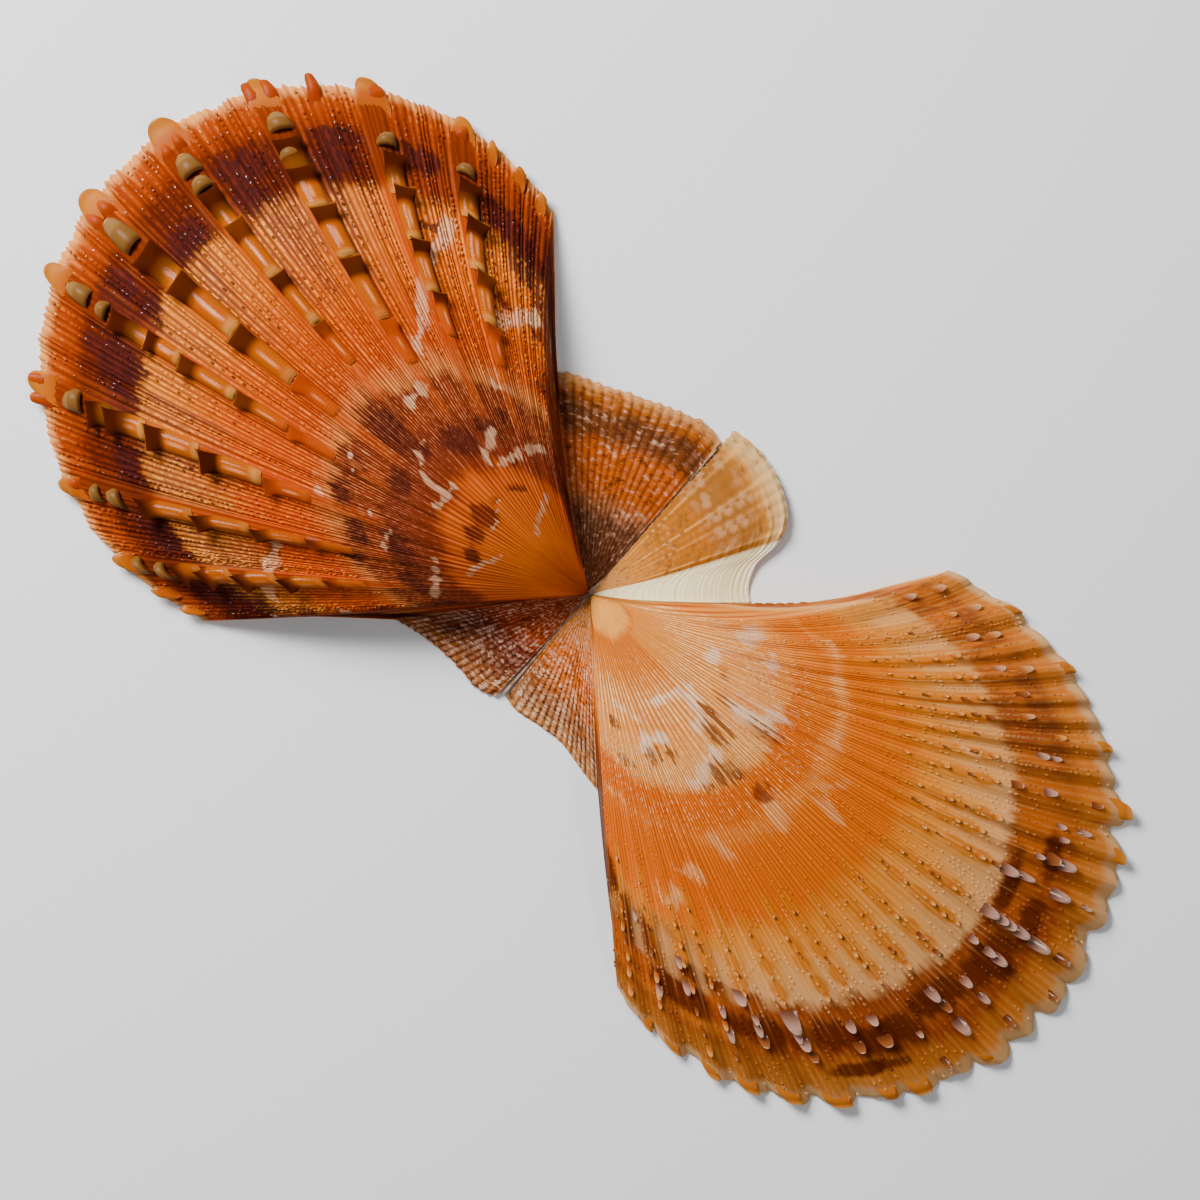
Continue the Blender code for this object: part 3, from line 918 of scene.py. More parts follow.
knob = sheet_scale(8, 8, knob_width, knob_height, round_end, 0.2)
tab = sheet_scale(10, 10, tab_width, tab_height, round_end, 0.3)
nub = sheet_scale(6, 8, tab_width, tab_height, square_end, 0.3)
knobs = small_scales("left_knobs", knob, KNOBS, 0.9, 3)
tabs = small_scales("left_rim_tabs", tab, TABS, 0.9, 4)
nubs = small_scales("left_rim_nubs", nub, NUBS, 1.15, 6)
print("knobs", len(KNOBS), "tabs", len(TABS), "nubs", len(NUBS))

# %% [markdown]
# ## Beads on the riblets
#
# Between the strong ribs every riblet is rough with tiny scales, closer than a millimetre. At arm's length
# they are seen as glints. A bead is a small ball, pulled long and low, with its high end towards the rim.
# There are thousands, so each one is as plain as a ball can be, and they wear the finish of their valve.

# %% Beads
BEAD_STEP, BEAD_HALF = 0.0095, 0.36
EAR_BEAD_STEP, EAR_BEAD_HALF, EAR_BEAD_HEIGHT, EAR_BEAD_SHARE = 0.024, 0.6, 0.12, 0.6


def bead_shape():
    deselect_all()
    bpy.ops.mesh.primitive_ico_sphere_add(subdivisions=1, radius=1.0)
    thing = bpy.context.object
    for vertex in thing.data.vertices:
        x, y, z = vertex.co
        vertex.co = (0.5 + 0.5 * x, y, 0.5 * z + 0.28 * x)
    return shape_of(thing)


def bead_places(rim, first_age, clear_of, clear, height, seed, share):
    """Beads on the disc, a share of all steps along each riblet that is clear of some ribs, and on the ears."""
    chance = np.random.default_rng(seed)
    rows = []
    middle = rim.riblet % 1.0 == 0.5
    for fan in rim.fan[middle & (rim.on_disc > 0)]:
        if min(abs(fan - rib) for rib in clear_of) < clear:
            continue
        age = first_age + 0.25 * chance.random() ** 2
        rough = share * chance.uniform(0.4, 1.4)
        while age < 0.985:
            step = BEAD_STEP * chance.uniform(0.7, 1.5)
            if chance.random() < rough:
                size = height * chance.uniform(0.5, 1.3) * (0.6 + 0.4 * age)
                spot = fan + chance.uniform(-0.12, 0.12)
                rows.append((spot, age, age + step * 0.7, BEAD_HALF, size, 0.0, chance.random()))
            age += step
    for fan in rim.fan[middle & (rim.past_notch < -2)]:
        age = 0.3
        while age < 0.98:
            step = EAR_BEAD_STEP * chance.uniform(0.6, 1.4)
            if chance.random() < EAR_BEAD_SHARE and not (rim.valve["side"] > 0 and fan > 100.0):
                size = EAR_BEAD_HEIGHT * chance.uniform(0.5, 1.3)
                rows.append((fan, age, age + step * 0.8, EAR_BEAD_HALF, size, 0.0, chance.random()))
            age += step
    return rows


def read(thing, name):
    values = np.empty(len(thing.data.vertices), dtype=np.float32)
    thing.data.attributes[name].data.foreach_get("value", values)
    return values


def lay_beads(name, rim, ground, *settings):
    """Lays beads, and gives their corners the numbers that the valve's own finish reads."""
    thing = lay_copies(name, bead, rim, bead_places(rim, *settings), ground)
    column = np.interp(-read(thing, "fan"), -rim.fan, rim.column)
    attach(thing.data, "riblet", np.floor((column - rim.corner) / 4.0) + 0.5)
    attach(thing.data, "ear", np.interp(column, rim.column, rim.ear))
    for key in ("inside", "rib", "band"):
        attach(thing.data, key, np.zeros(len(column)))
    print(name, triangles(thing), "triangles")
    return thing


def left_ground(fan, age):
    return np.where(np.abs(fan) < 105.0, 0.14 * age**0.7 + BUNDLE_RELIEF * bundles(fan) * age, 0.06 * age)


bead = bead_shape()
left_beads = lay_beads("left_beads", left_rim, left_ground, 0.45, LEFT_RIBS, 3.8, 0.24, 23, 0.6)

# %% [markdown]
# ## Nail scales of the right valve
#
# The right valve's ribs carry small clear scales like fingernails. Most are tiny and tan, and some near the
# rim, on a few ribs, are large and clear or milky. The same sheet makes all of them: a thin tongue with a
# round end that lifts a little off the rib. The tiny ones stand in loose rows, and the large ones are listed
# one by one. Each large one has a number for how milky it is.


# %% Nails
LARGE_NAILS = (
    (104.5, 0.832, 0.86, 1.5, 0.74), (104, 0.905, 0.935, 1.6, 0.72), (95.5, 0.86, 0.885, 1.2, 0.3),
    (95.6, 0.912, 0.945, 1.5, 0.74), (87.8, 0.85, 0.88, 1.5, 0.74), (87.2, 0.895, 0.925, 1.4, 0.7),
    (77.5, 0.848, 0.875, 1.3, 0.76), (76.5, 0.895, 0.925, 1.4, 0.72), (70, 0.862, 0.888, 1.2, 0.5),
    (64, 0.852, 0.876, 1.1, 0.72), (59, 0.905, 0.925, 1, 0.3), (54, 0.86, 0.884, 1.3, 0.9),
    (53.7, 0.884, 0.906, 1, 0.8), (45, 0.86, 0.884, 1.3, 0.9), (45, 0.8, 0.822, 1.4, 0.6),
    (44.2, 0.948, 0.968, 1, 0.5), (37.5, 0.925, 0.95, 1, 0.9), (37.5, 0.886, 0.904, 1, 0.9),
    (34.6, 0.89, 0.908, 0.9, 1), (29, 0.893, 0.926, 1.7, 1), (29.3, 0.872, 0.898, 1.9, 0.6),
    (28.8, 0.852, 0.87, 1, 1), (22, 0.893, 0.93, 1.7, 1), (22.6, 0.828, 0.862, 1.3, 1),
    (22.2, 0.8, 0.832, 1.9, 1), (22, 0.955, 0.974, 0.7, 0.8), (9.6, 0.895, 0.936, 1.8, 1),
    (9.9, 0.862, 0.894, 1.8, 1), (10, 0.846, 0.868, 1.7, 0.8), (10, 0.828, 0.852, 1.7, 1),
    (10, 0.8, 0.832, 2, 1), (9.8, 0.95, 0.978, 1.4, 0.5), (1.5, 0.862, 0.89, 1.6, 1),
    (1.5, 0.844, 0.866, 1.4, 0.9), (1.5, 0.812, 0.83, 1.3, 0.9), (2.2, 0.972, 0.998, 1.1, 0.6),
    (-7.5, 0.892, 0.915, 1.2, 1), (-7.5, 0.85, 0.874, 1.4, 0.8), (-7.4, 0.95, 0.974, 1, 0.5),
    (-15.6, 0.902, 0.936, 1.8, 1), (-15, 0.862, 0.886, 1.5, 0.5), (-15.3, 0.83, 0.86, 1.7, 1),
    (-24, 0.89, 0.903, 0.9, 0.8), (-23.7, 0.95, 0.976, 1, 0.6), (-31.4, 0.874, 0.896, 2.2, 0.5),
    (-31, 0.832, 0.852, 1.6, 0.8), (-36.8, 0.832, 0.856, 1.6, 1), (-37.6, 0.874, 0.896, 1.7, 0.5),
    (-49, 0.888, 0.906, 1.6, 0.6), (-49.5, 0.858, 0.883, 1.9, 0.9), (-50.2, 0.842, 0.868, 1.4, 1),
    (-49.8, 0.8, 0.846, 2.8, 1), (-59.2, 0.86, 0.885, 1.9, 0.6), (-59.3, 0.836, 0.863, 1.4, 1),
    (-59, 0.818, 0.838, 1.2, 0.9), (-61, 0.772, 0.803, 2.4, 1), (-67.5, 0.862, 0.894, 1.3, 0.9),
    (-67.5, 0.816, 0.842, 1.2, 0.9), (-76.5, 0.795, 0.825, 1.6, 1), (-76.8, 0.745, 0.77, 1.5, 1),
    (-91, 0.71, 0.735, 1.4, 0.9), (-86, 0.85, 0.875, 1.5, 0.8),
)
NAIL_LENGTH = 0.024
NAIL_HALF = 1.05


def nail_height(x, y):
    return 0.55 * arch(y, 0.92) * (0.35 + 0.65 * x) + 0.25 * x * x - 0.12


def nail_width(x):
    return 0.75 + 0.25 * math.sin(math.pi * min(1.0, 0.2 + 0.6 * x))


def nail_places():
    chance = np.random.default_rng(31)
    rows = []
    for fan in RIGHT_RIBS:
        if abs(fan) > 100:
            continue
        age = 0.60 + 0.05 * chance.random()
        while age < (0.79 if fan > -62.0 else 0.94):
            size = chance.uniform(0.45, 0.9) * (0.6 + 0.5 * smooth_step(age, 0.6, 0.95))
            spot, tip = fan + chance.uniform(-0.5, 0.5), age + NAIL_LENGTH * size
            rows.append((spot, age, tip, NAIL_HALF * size, size, 0.0, 0.6 * chance.random()))
            age += chance.uniform(0.025, 0.055)
    for fan, root, tip, half, milk in LARGE_NAILS:
        low = root + 0.08 * (tip - root)
        rows.append((fan, low, tip, 0.78 * half, 0.45 + 0.22 * half, 0.0, milk * chance.uniform(0.95, 1.0)))
    return rows


def right_ground(fan, age):
    rib = RIGHT_RIB_RELIEF * (round_ribs(fan) - 0.4) * smooth_step(age, 0.25, 1.0)
    return np.where(np.abs(fan) < 108.0, rib + 0.04, 0.04)


nail = sheet_scale(8, 6, nail_width, nail_height, round_end, 0.14)
nail_rows = nail_places()
nails = lay_copies("right_nails", nail, right_rim, nail_rows, right_ground)
right_beads = lay_beads("right_beads", right_rim, right_ground, 0.18, (0.0,), 0.0, 0.13, 29, 0.3)
print("nails:", len(nail_rows), "with", triangles(nails), "triangles")

# %% [markdown]
# ## Rim fingers and comb teeth of the right valve
#
# Several ribs of the right valve end in a small amber finger at the rim. Below the front ear, on the edge of
# the byssal notch, stands the comb: a row of tiny teeth that held the threads apart.

# %% Fingers and teeth
FINGERS = (
    (92.1, 0.965, 1.014, 1.5), (75.7, 0.965, 1.014, 1.5), (57.4, 0.97, 1.012, 1.2), (44.6, 0.97, 1.03, 1.9),
    (34.8, 0.97, 1.02, 1.5), (-15.4, 0.968, 1.006, 2.2), (-31.5, 0.962, 1.008, 2.3),
    (-38, 0.965, 1.001, 1.8), (-48.8, 0.966, 1.01, 2.8), (-58.8, 0.962, 1.011, 2.4),
    (-67.8, 0.962, 1.012, 2.2), (-76.3, 0.962, 1.016, 2), (-85.8, 0.965, 1.012, 2),
    (-93, 0.965, 1.012, 1.8),
)
COMB = (147.6, 145.4, 143.2, 141.0, 138.4)

finger = sheet_scale(8, 8, tab_width, tab_height, square_end, 0.35)
finger_rows = [(*row, 0.7, 0.0, 0.3) for row in FINGERS]
fingers = lay_copies(
    "right_rim_fingers", finger, right_rim, finger_rows, lambda fan, age: right_ground(fan, age) - 0.15
)
comb_rows = [(fan, 0.975, 1.016, 0.55, 0.35, 0.0, 0.3) for fan in COMB]
comb = lay_copies("right_comb_teeth", nail, right_rim, comb_rows)
print("fingers", len(finger_rows), "comb teeth", len(comb_rows))

# %% [markdown]
# ## Marks on the left valve
#
# The colour of a shell is laid down at the rim as it grows, so each colour change follows a growth line, and
# each patch starts and stops riblet by riblet. The large marks are given in fan angle and age. They
# are kept on the corners of the mesh as smooth numbers, and the finish later cuts them to a ragged edge.


# %% Painting helpers
def patches(marks):
    """A field above 0 inside a mark and below 0 outside. A mark is (fan, age, half width, half height)."""

    def field(fan, age):
        best = np.full(fan.shape, -2.0)
        for middle, at, half_fan, half_age in marks:
            best = np.maximum(best, 1.0 - np.hypot((fan - middle) / half_fan, (age - at) / half_age))
        return best

    return field


def lines(marks):
    """Like patches, for lines. A line is its half width and then the (fan, age) points it runs through."""

    def field(fan, age):
        best = np.full(fan.shape, -4.0)
        x, uneven = fan * age / 100.0, 1.0 + 0.5 * wobble(fan, 61, 9.0)
        for half, *mark in marks:
            thick = 0.8 * half * uneven
            ends = [(far * at / 100.0, at) for far, at in mark]
            for (ax, ay), (bx, by) in zip(ends[:-1], ends[1:]):
                length = (bx - ax) ** 2 + (by - ay) ** 2
                share = np.clip(((x - ax) * (bx - ax) + (age - ay) * (by - ay)) / length, 0.0, 1.0)
                gap = np.hypot(x - ax - share * (bx - ax), age - ay - share * (by - ay))
                best = np.maximum(best, 1.0 - gap / thick)
        return best

    return field


def paint(finish, things, **fields):
    """Keeps the fields on the corners of the things, and gives them the finish that reads these."""
    for thing in things:
        fan, age = read(thing, "fan"), read(thing, "age")
        for name, field in fields.items():
            attach(thing.data, name, field(fan, age))
    finish.cover(*things)
    print(finish.material.name, "has", len(finish.tree.nodes), "nodes")


LEFT_DARK = (
    (102, 0.668, 5, 0.03), (89, 0.65, 6, 0.012), (99, 0.77, 8, 0.03), (66, 0.74, 7, 0.01),
    (6, 0.392, 9, 0.075), (13, 0.41, 7, 0.035), (-22, 0.425, 6, 0.028), (-38, 0.43, 7, 0.024),
    (-57, 0.41, 8, 0.022), (-68, 0.44, 7, 0.022), (-60, 0.34, 14, 0.028), (-84, 0.36, 10, 0.03),
    (34, 0.315, 12, 0.032), (54, 0.335, 9, 0.022), (70, 0.37, 6, 0.018), (10, 0.335, 5, 0.016),
    (-16, 0.335, 8, 0.02), (2, 0.194, 13, 0.024), (-22, 0.198, 10, 0.02), (22, 0.205, 8, 0.008),
    (109, 0.69, 4, 0.035), (107, 0.56, 4, 0.02), (-46, 0.2, 12, 0.016), (52, 0.215, 9, 0.01),
    (26, 0.88, 9, 0.035), (20, 0.825, 8, 0.022), (5, 0.83, 8, 0.028), (-18, 0.88, 7, 0.036),
    (-19, 0.82, 8, 0.026), (-30, 0.85, 8, 0.06), (44, 0.85, 9, 0.032), (49, 0.9, 6, 0.022),
    (66, 0.88, 9, 0.03), (90, 0.85, 9, 0.04), (100, 0.82, 8, 0.06), (-40, 0.83, 5, 0.04),
    (-57, 0.84, 6, 0.032), (-74, 0.84, 10, 0.05), (-96, 0.87, 8, 0.05), (-100, 0.8, 8, 0.035),
    (107, 0.73, 6, 0.05), (104, 0.52, 4, 0.03), (-112, 0.72, 9, 0.06), (-112, 0.52, 10, 0.06),
    (-112, 0.36, 14, 0.05), (118, 0.9, 14, 0.06), (116, 0.6, 8, 0.04),
)
LEFT_WHITE = (
    (0.009, (60, 0.335), (46, 0.288), (40, 0.268)),
    (0.008, (48, 0.262), (60, 0.272), (74, 0.3), (88, 0.328), (98, 0.352)),
    (0.007, (14, 0.342), (6, 0.336), (-2, 0.316), (-7, 0.292), (-5, 0.272)),
    (0.008, (4, 0.262), (-3, 0.258), (-10, 0.262), (-19, 0.27)),
    (0.004, (30, 0.205), (10, 0.182), (-4, 0.172), (-14, 0.182)),
    (0.005, (-34, 0.15), (-46, 0.166), (-52, 0.186), (-64, 0.212), (-72, 0.228)),
    (0.005, (86, 0.222), (66, 0.17), (48, 0.142), (34, 0.12)),
    (0.007, (-60, 0.275), (-72, 0.288), (-84, 0.312), (-98, 0.355)),
    (0.012, (24, 0.405), (30, 0.418), (37, 0.424)), (0.013, (74, 0.432), (80, 0.445)),
    (0.01, (-70, 0.59), (-80, 0.64), (-88, 0.69), (-98, 0.74)),
    (0.012, (74, 0.765), (66, 0.7), (58, 0.62), (50, 0.54), (43, 0.49)),
    (0.014, (104, 0.7), (96, 0.66), (86, 0.6), (80, 0.59)),
    (0.006, (-48, 0.345), (-55, 0.362), (-62, 0.372)), (0.005, (-40, 0.38), (-50, 0.372)),
    (0.006, (-18, 0.425), (-24, 0.415)), (0.007, (-64, 0.495), (-66, 0.525)),
    (0.006, (-8, 0.552), (-3, 0.556)), (0.011, (-36, 0.475), (-42, 0.47)), (0.01, (108, 0.63), (114, 0.62)),
    (0.01, (112, 0.805), (120, 0.79)), (0.012, (108, 0.455), (118, 0.44)),
    (0.016, (-104, 0.625), (-120, 0.6)), (0.014, (-108, 0.8), (-120, 0.78)),
    (0.014, (-106, 0.44), (-118, 0.42)),
)
print("dark marks", len(LEFT_DARK), "white lines", len(LEFT_WHITE))

# %% [markdown]
# ## What the finishes of both valves share
#
# The colours are laid over each other from broad to fine: bands by age, streaks that differ from riblet to
# riblet, the dark and white marks with ragged edges, and last the darker grooves and paler crests, whose pale
# dashes are partly painted glints. The ears are netted, and the inner face is smooth. The surface is matt,
# because a strong reflection would bleach the orange, with a thin clear coat on some beads and ribs for real
# glints, and more glints painted into the colour.


# %% What both valves share
INNER_BANDS = (
    (0, 0.6, 0.4, 0.28), (0.45, 0.8, 0.66, 0.55), (0.75, 0.78, 0.56, 0.44), (0.88, 0.62, 0.26, 0.12),
    (0.95, 0.46, 0.1, 0.02), (1, 0.56, 0.2, 0.05),
)


class ShellFinish(Finish):
    """A finish with the numbers that both valves start from. crest is 1 on a riblet's middle and 0 in a
    groove, and own is a chance of each riblet's own."""

    def __init__(self, name, seed, **constants):
        super().__init__(name, Roughness=0.55, **constants)
        names = ("age", "fan", "riblet", "rib", "ear")
        self.age, self.fan, self.riblet, self.rib, self.ear = map(self.attribute, names)
        age, fan, riblet = self.age, self.fan, self.riblet
        count = riblet.maths("FLOOR") + seed
        self.own = self.add("ShaderNodeTexWhiteNoise", {"noise_dimensions": "1D"}, {"W": count})
        young = age.step(*BRANCHING) * (1 - self.ear)
        waves = ((riblet * (2 * math.pi / count)).maths("COSINE") for count in (1, RIBLETS_IN_ONE))
        one, group = (0.5 - 0.5 * wave for wave in waves)
        self.crest = one * (1 - young) + group * young
        self.broad = self.noise((fan * 0.055, age * 7, seed), 4, 0.6)
        self.streak = self.noise((riblet * 0.8, age * 5, seed), 3, 0.65)
        self.fine = self.noise((riblet * 2.2, age * 42, seed), 2, 0.6)
        self.feather = self.noise((riblet * 0.9, age * 16, seed), 2, 0.6)
        self.bundle = self.noise((riblet * 0.23, age * 2, seed))
        # This noise breaks the pale crest lines into dashes of painted glints.
        self.dash = self.noise((riblet * 1.7, age * 85, 2), 1)

    def numbers(self):
        clouds = (self.broad, self.streak, self.fine, self.feather, self.bundle)
        return (self.age, self.fan, self.rib, self.own, self.crest, *clouds)

    def zone(self, fan_from, fan_to, low, high, soft):
        """1 past a fan angle and between two ages, with soft edges."""
        return self.fan.step(fan_from, fan_to) * self.age.within(low, high, soft)

    def cells(self, count, wide, long, riblets=1):
        """Oval spots in rows along the riblets, count of them from beak to rim, each with its own chance."""
        row = self.riblet / riblets
        place = self.age * count + self.own * 0.6
        cell = self.vector(row.maths("FLOOR"), place.maths("FLOOR"))
        chance = self.add("ShaderNodeTexWhiteNoise", {"noise_dimensions": "2D"}, {"Vector": cell})
        across = row.maths("FRACT") - 0.5
        along = place.maths("FRACT") - 0.5
        return 1 - across * across * wide - along * along * long, chance

    def ear_colour(self, stops, dark, pale, pale_from, net=0.55, bricks=0.5):
        """An ear is netted: its riblets and growth lines break the colour into small dark and pale cells."""
        age, riblet, crest = self.age, self.riblet, self.crest
        cloud = self.noise((riblet * 0.3, age * 8, 7), 4, 0.6)
        grain = self.noise((riblet * 0.9, age * 34, 3), 2, 0.6)
        grit = self.noise((riblet * 2.5, age * 110, 5))
        gloom = (cloud * 0.6 + grain * 0.7 + grit * 0.35).step(0.8, 0.66)
        spot = (cloud * 0.45 + grain * 0.9 + grit * 0.2).step(pale_from, pale_from + 0.12)
        oval, chance = self.cells(30, 4.5, 4)
        brick = oval.step(0, 1) * (chance * 0.5 + cloud * 0.8 + grain * 0.3).step(0.62, 1)
        return self.over(
            self.ramp(age + (cloud - 0.5) * 0.15 + (grain - 0.5) * 0.05, stops),
            ((1 - crest) ** 2 * net, dark),
            (gloom * 0.75, dark),
            (spot * (0.3 + 0.7 * crest) * 0.85, pale),
            (brick * bricks, pale),
        )

    def complete(self, colour, front_ear, back_ear, wet=0):
        """Puts the ears and the inner face over the disc's colour, and adds the fine grain and the coat."""
        inner = self.ramp(self.age + (self.broad - 0.5) * 0.25, INNER_BANDS)
        ears = self.mix(self.fan.step(-1, 1), back_ear, front_ear)
        colour = self.over(colour, (self.ear, ears), (self.attribute("inside"), inner))
        self.drive("Base Color", colour)
        self.drive("Coat Weight", (self.attribute("chance").step(0.55, 0.75) * 0.6).maths("MAXIMUM", wet))
        self.bump((self.fine * 0.6 + self.streak * 0.4) * self.age.step(0.1, 0.6), 0.00012, 0.5)
        return self


print("the inner faces have", len(INNER_BANDS), "colour bands")

# %% [markdown]
# ## Finish of the left valve
#
# The left valve is orange with a maroon band below the beak and a dark, narrow one near the rim. Between its
# ribs the riblets are finely striped, pale on the crests and dark in the grooves, and the ribs themselves are
# smoother. The front ear is tan and brown, the back ear darker and redder.

# %% Left valve finish
LEFT_BANDS = (
    (0, 0.1, 0.025, 0.006), (0.04, 0.44, 0.08, 0.002), (0.1, 0.76, 0.16, 0.008), (0.24, 0.66, 0.098, 0.001),
    (0.265, 0.18, 0.024, 0.005), (0.34, 0.13, 0.017, 0.006), (0.38, 0.24, 0.032, 0.006),
    (0.425, 0.14, 0.02, 0.008), (0.445, 0.56, 0.17, 0.035), (0.47, 0.5, 0.11, 0.02), (0.49, 0.38, 0.038, 0),
    (0.6, 0.42, 0.058, 0), (0.68, 0.47, 0.098, 0.001), (0.79, 0.5, 0.132, 0.008),
    (0.805, 0.065, 0.007, 0.001), (0.915, 0.09, 0.009, 0.001), (0.94, 0.22, 0.026, 0.001),
    (0.975, 0.3, 0.04, 0), (1, 0.56, 0.16, 0.02),
)
LEFT_GROOVES = (
    (0.06, 0.3, 0.045, 0.002), (0.2, 0.2, 0.022, 0.002), (0.4, 0.07, 0.012, 0.006), (0.5, 0.2, 0.02, 0.002),
    (0.66, 0.22, 0.028, 0.004), (0.76, 0.13, 0.028, 0.014), (0.82, 0.03, 0.005, 0.003),
    (0.91, 0.05, 0.007, 0.002), (0.96, 0.22, 0.025, 0.001),
)
LEFT_CRESTS = (
    (0.1, 0.56, 0.1, 0.004), (0.3, 0.44, 0.13, 0.06), (0.45, 0.78, 0.24, 0.06), (0.56, 0.72, 0.15, 0.006),
    (0.7, 0.84, 0.27, 0.03), (0.79, 0.82, 0.29, 0.035), (0.82, 0.15, 0.019, 0.005),
    (0.91, 0.17, 0.021, 0.004), (0.95, 0.42, 0.062, 0.001), (1, 0.66, 0.24, 0.055),
)
LEFT_FRONT_EAR = (
    (0.02, 0.1, 0.028, 0.008), (0.36, 0.14, 0.045, 0.018), (0.43, 0.34, 0.1, 0.03),
    (0.5, 0.46, 0.08, 0.002), (0.7, 0.48, 0.08, 0.001), (0.76, 0.16, 0.04, 0.008),
    (0.86, 0.13, 0.034, 0.008), (0.92, 0.34, 0.075, 0.004), (0.97, 0.5, 0.17, 0.03),
)
LEFT_BACK_EAR = (
    (0.02, 0.2, 0.036, 0.004), (0.3, 0.32, 0.044, 0.004), (0.5, 0.4, 0.05, 0.002),
    (0.62, 0.18, 0.028, 0.012), (0.8, 0.2, 0.05, 0.016), (0.94, 0.34, 0.095, 0.015), (1, 0.28, 0.08, 0.02),
)


def left_finish():
    finish = ShellFinish("left_valve_orange", 0, Specular_IOR_Level=0.01, Coat_Roughness=0.08)
    age, fan, rib, own, crest, broad, streak, fine, feather, bundle = finish.numbers()
    zone = finish.zone
    low = zone(-78, -94, 0.74, 0.84, 0.02) * 0.06
    ring = age + low + (broad - 0.5) * 0.07 + (own - 0.5) * 0.016
    ring = ring + (feather - 0.5) * 0.04 + (bundle - 0.5) * 0.04
    sunny = (fan.step(42, 56) + fan.step(-100, -108) * 0.3) * age.within(0.62, 0.8, 0.02)
    weaker = (1 - fan.step(62, 50)) * age.within(0.8, 0.93, 0.02)
    hot = streak.step(0.56, 0.7) * age.within(0.46, 0.64, 0.03)
    purple = age.within(0.62, 0.8, 0.03) * fan.within(-85, 45, 8)
    purple = purple * (streak * 0.6 + bundle * 0.6).step(0.54, 0.7)
    rusty = age.step(0.91, 0.94) * streak.step(0.5, 0.38)
    colour = finish.over(
        finish.ramp(ring, LEFT_BANDS),
        (sunny * (0.5 + streak * 0.6), (0.56, 0.09, 0)),
        (weaker * (0.35 + 0.8 * streak), (0.27, 0.034, 0.002)),
        (zone(-5, -50, 0.47, 0.68, 0.04) * (0.4 + streak * 0.7), (0.5, 0.046, 0)),
        (zone(-46, -60, 0.64, 0.8, 0.02) * (0.2 + 0.9 * broad), (0.32, 0.095, 0.02)),
        (hot * 0.7, (0.66, 0.1, 0)),
        (purple * 0.8, (0.19, 0.048, 0.022)),
        (rusty * 0.7, (0.19, 0.02, 0.001)),
    )

    ragged = (own - 0.5) * 0.5 + (broad - 0.5) * 1.2 + (feather - 0.5) * 2.2 + (streak - 0.5) * 1
    shade = (finish.attribute("shade") + ragged * 0.8).step(-0.12, 0.22)
    shade = shade.maths("MAXIMUM", fan.maths("ABSOLUTE").step(100, 112) * age.step(0.22, 0.4) * 0.85)
    dark = finish.mix(fine.step(0.4, 0.75), (0.026, 0.005, 0.006), (0.08, 0.01, 0.007))
    white = (finish.attribute("light") + ragged * 0.7).step(-0.15, 0.45)
    flank = finish.attribute("flank") * age.within(0.76, 0.93, 0.03)
    flank = flank * (streak * 0.7 + broad * 0.6).step(0.58, 0.76)
    bare = rib * age.within(0.5, 0.88, 0.04)
    groove = (1 - crest) ** 2 * (1 - bare * 0.5) * (0.35 + 1.1 * bundle) * age.step(0.02, 0.16)
    # The pale crest lines are partly the riblets' own colour and partly painted glints, broken into dashes.
    dash = finish.dash.step(0.48, 0.58)
    line = crest.step(0.45, 0.95) * (1 - bare * 0.6) * (0.04 + 0.32 * own + 0.75 * dash) * (1 - 0.6 * shade)
    oval, chance = finish.cells(48, 16, 20)
    pits = oval.step(0, 0.4) * (chance * 0.6 + own).step(1.08, 1.18)
    bar = rib.step(0.7, 1) * age.step(0.3, 0.5) * (1 - shade * 0.7)
    bar_tone = finish.mix(age.step(0.78, 0.84), (0.34, 0.034, 0), (0.13, 0.016, 0.001))
    # Painted glints: short light streaks on the middle of the strong ribs, painted into the colour.
    painted_glint = rib.step(0.9, 1) * (fine * 0.7 + streak * 0.4).step(0.56, 0.66) * age.within(0.38, 0.6, 0.04)
    edge = (age + (streak - 0.5) * 0.03).step(0.975, 1) * (0.5 + 0.5 * (1 - crest))
    colour = finish.over(
        colour,
        (shade * (1 - 0.55 * crest.step(0.5, 1) * own), dark),
        (white * (0.45 + 0.3 * crest + 0.3 * fine), (0.74, 0.42, 0.23)),
        (flank * 0.45, (0.34, 0.06, 0.01)),
        (groove * 0.95, finish.ramp(age, LEFT_GROOVES)),
        (line * 0.8, finish.ramp(age, LEFT_CRESTS)),
        (pits * age.within(0.6, 0.82, 0.02) * (1 - rib) * 0.85, (0.045, 0.012, 0.006)),
        (bar * 0.75, bar_tone),
        (painted_glint * 0.3, (0.76, 0.22, 0.04)),
        (edge * 0.8, (0.8, 0.34, 0.09)),
    )

    front_ear = finish.ear_colour(LEFT_FRONT_EAR, (0.045, 0.014, 0.006), (0.62, 0.33, 0.2), 0.84, 0.6, 0.14)
    fringe = (age + (streak - 0.5) * 0.08).step(0.955, 0.995)
    front_ear = finish.mix(fringe * 0.6, front_ear, (0.66, 0.3, 0.11))
    back_ear = finish.ear_colour(LEFT_BACK_EAR, (0.03, 0.008, 0.006), (0.66, 0.4, 0.27), 0.8, 0.6, 0.25)
    wet = rib.step(0.5, 1) * crest.step(0.4, 1) * age.within(0.42, 0.62, 0.05) * 0.35
    return finish.complete(colour, front_ear, back_ear, wet)


paint(
    left_finish(),
    (left_shell, left_beads),
    shade=patches(LEFT_DARK),
    light=lines(LEFT_WHITE),
    flank=lambda fan, age: rib_share(fan, LEFT_RIBS, 4.5, 7.0),
)

# %% [markdown]
# ## Scale finishes of the left valve
#
# A scale changes colour from its root to its tip and ends in a thin clear edge. The bars are amber with a
# nearly black lip and a painted highlight along the middle, the knobs are olive, and the tabs and nubs glow
# orange where light passes their thin edge.
# They read how far along, how far across and how old each point is.


# %% Scale finishes of the left valve
RIPPLE_PITCH = 0.0055


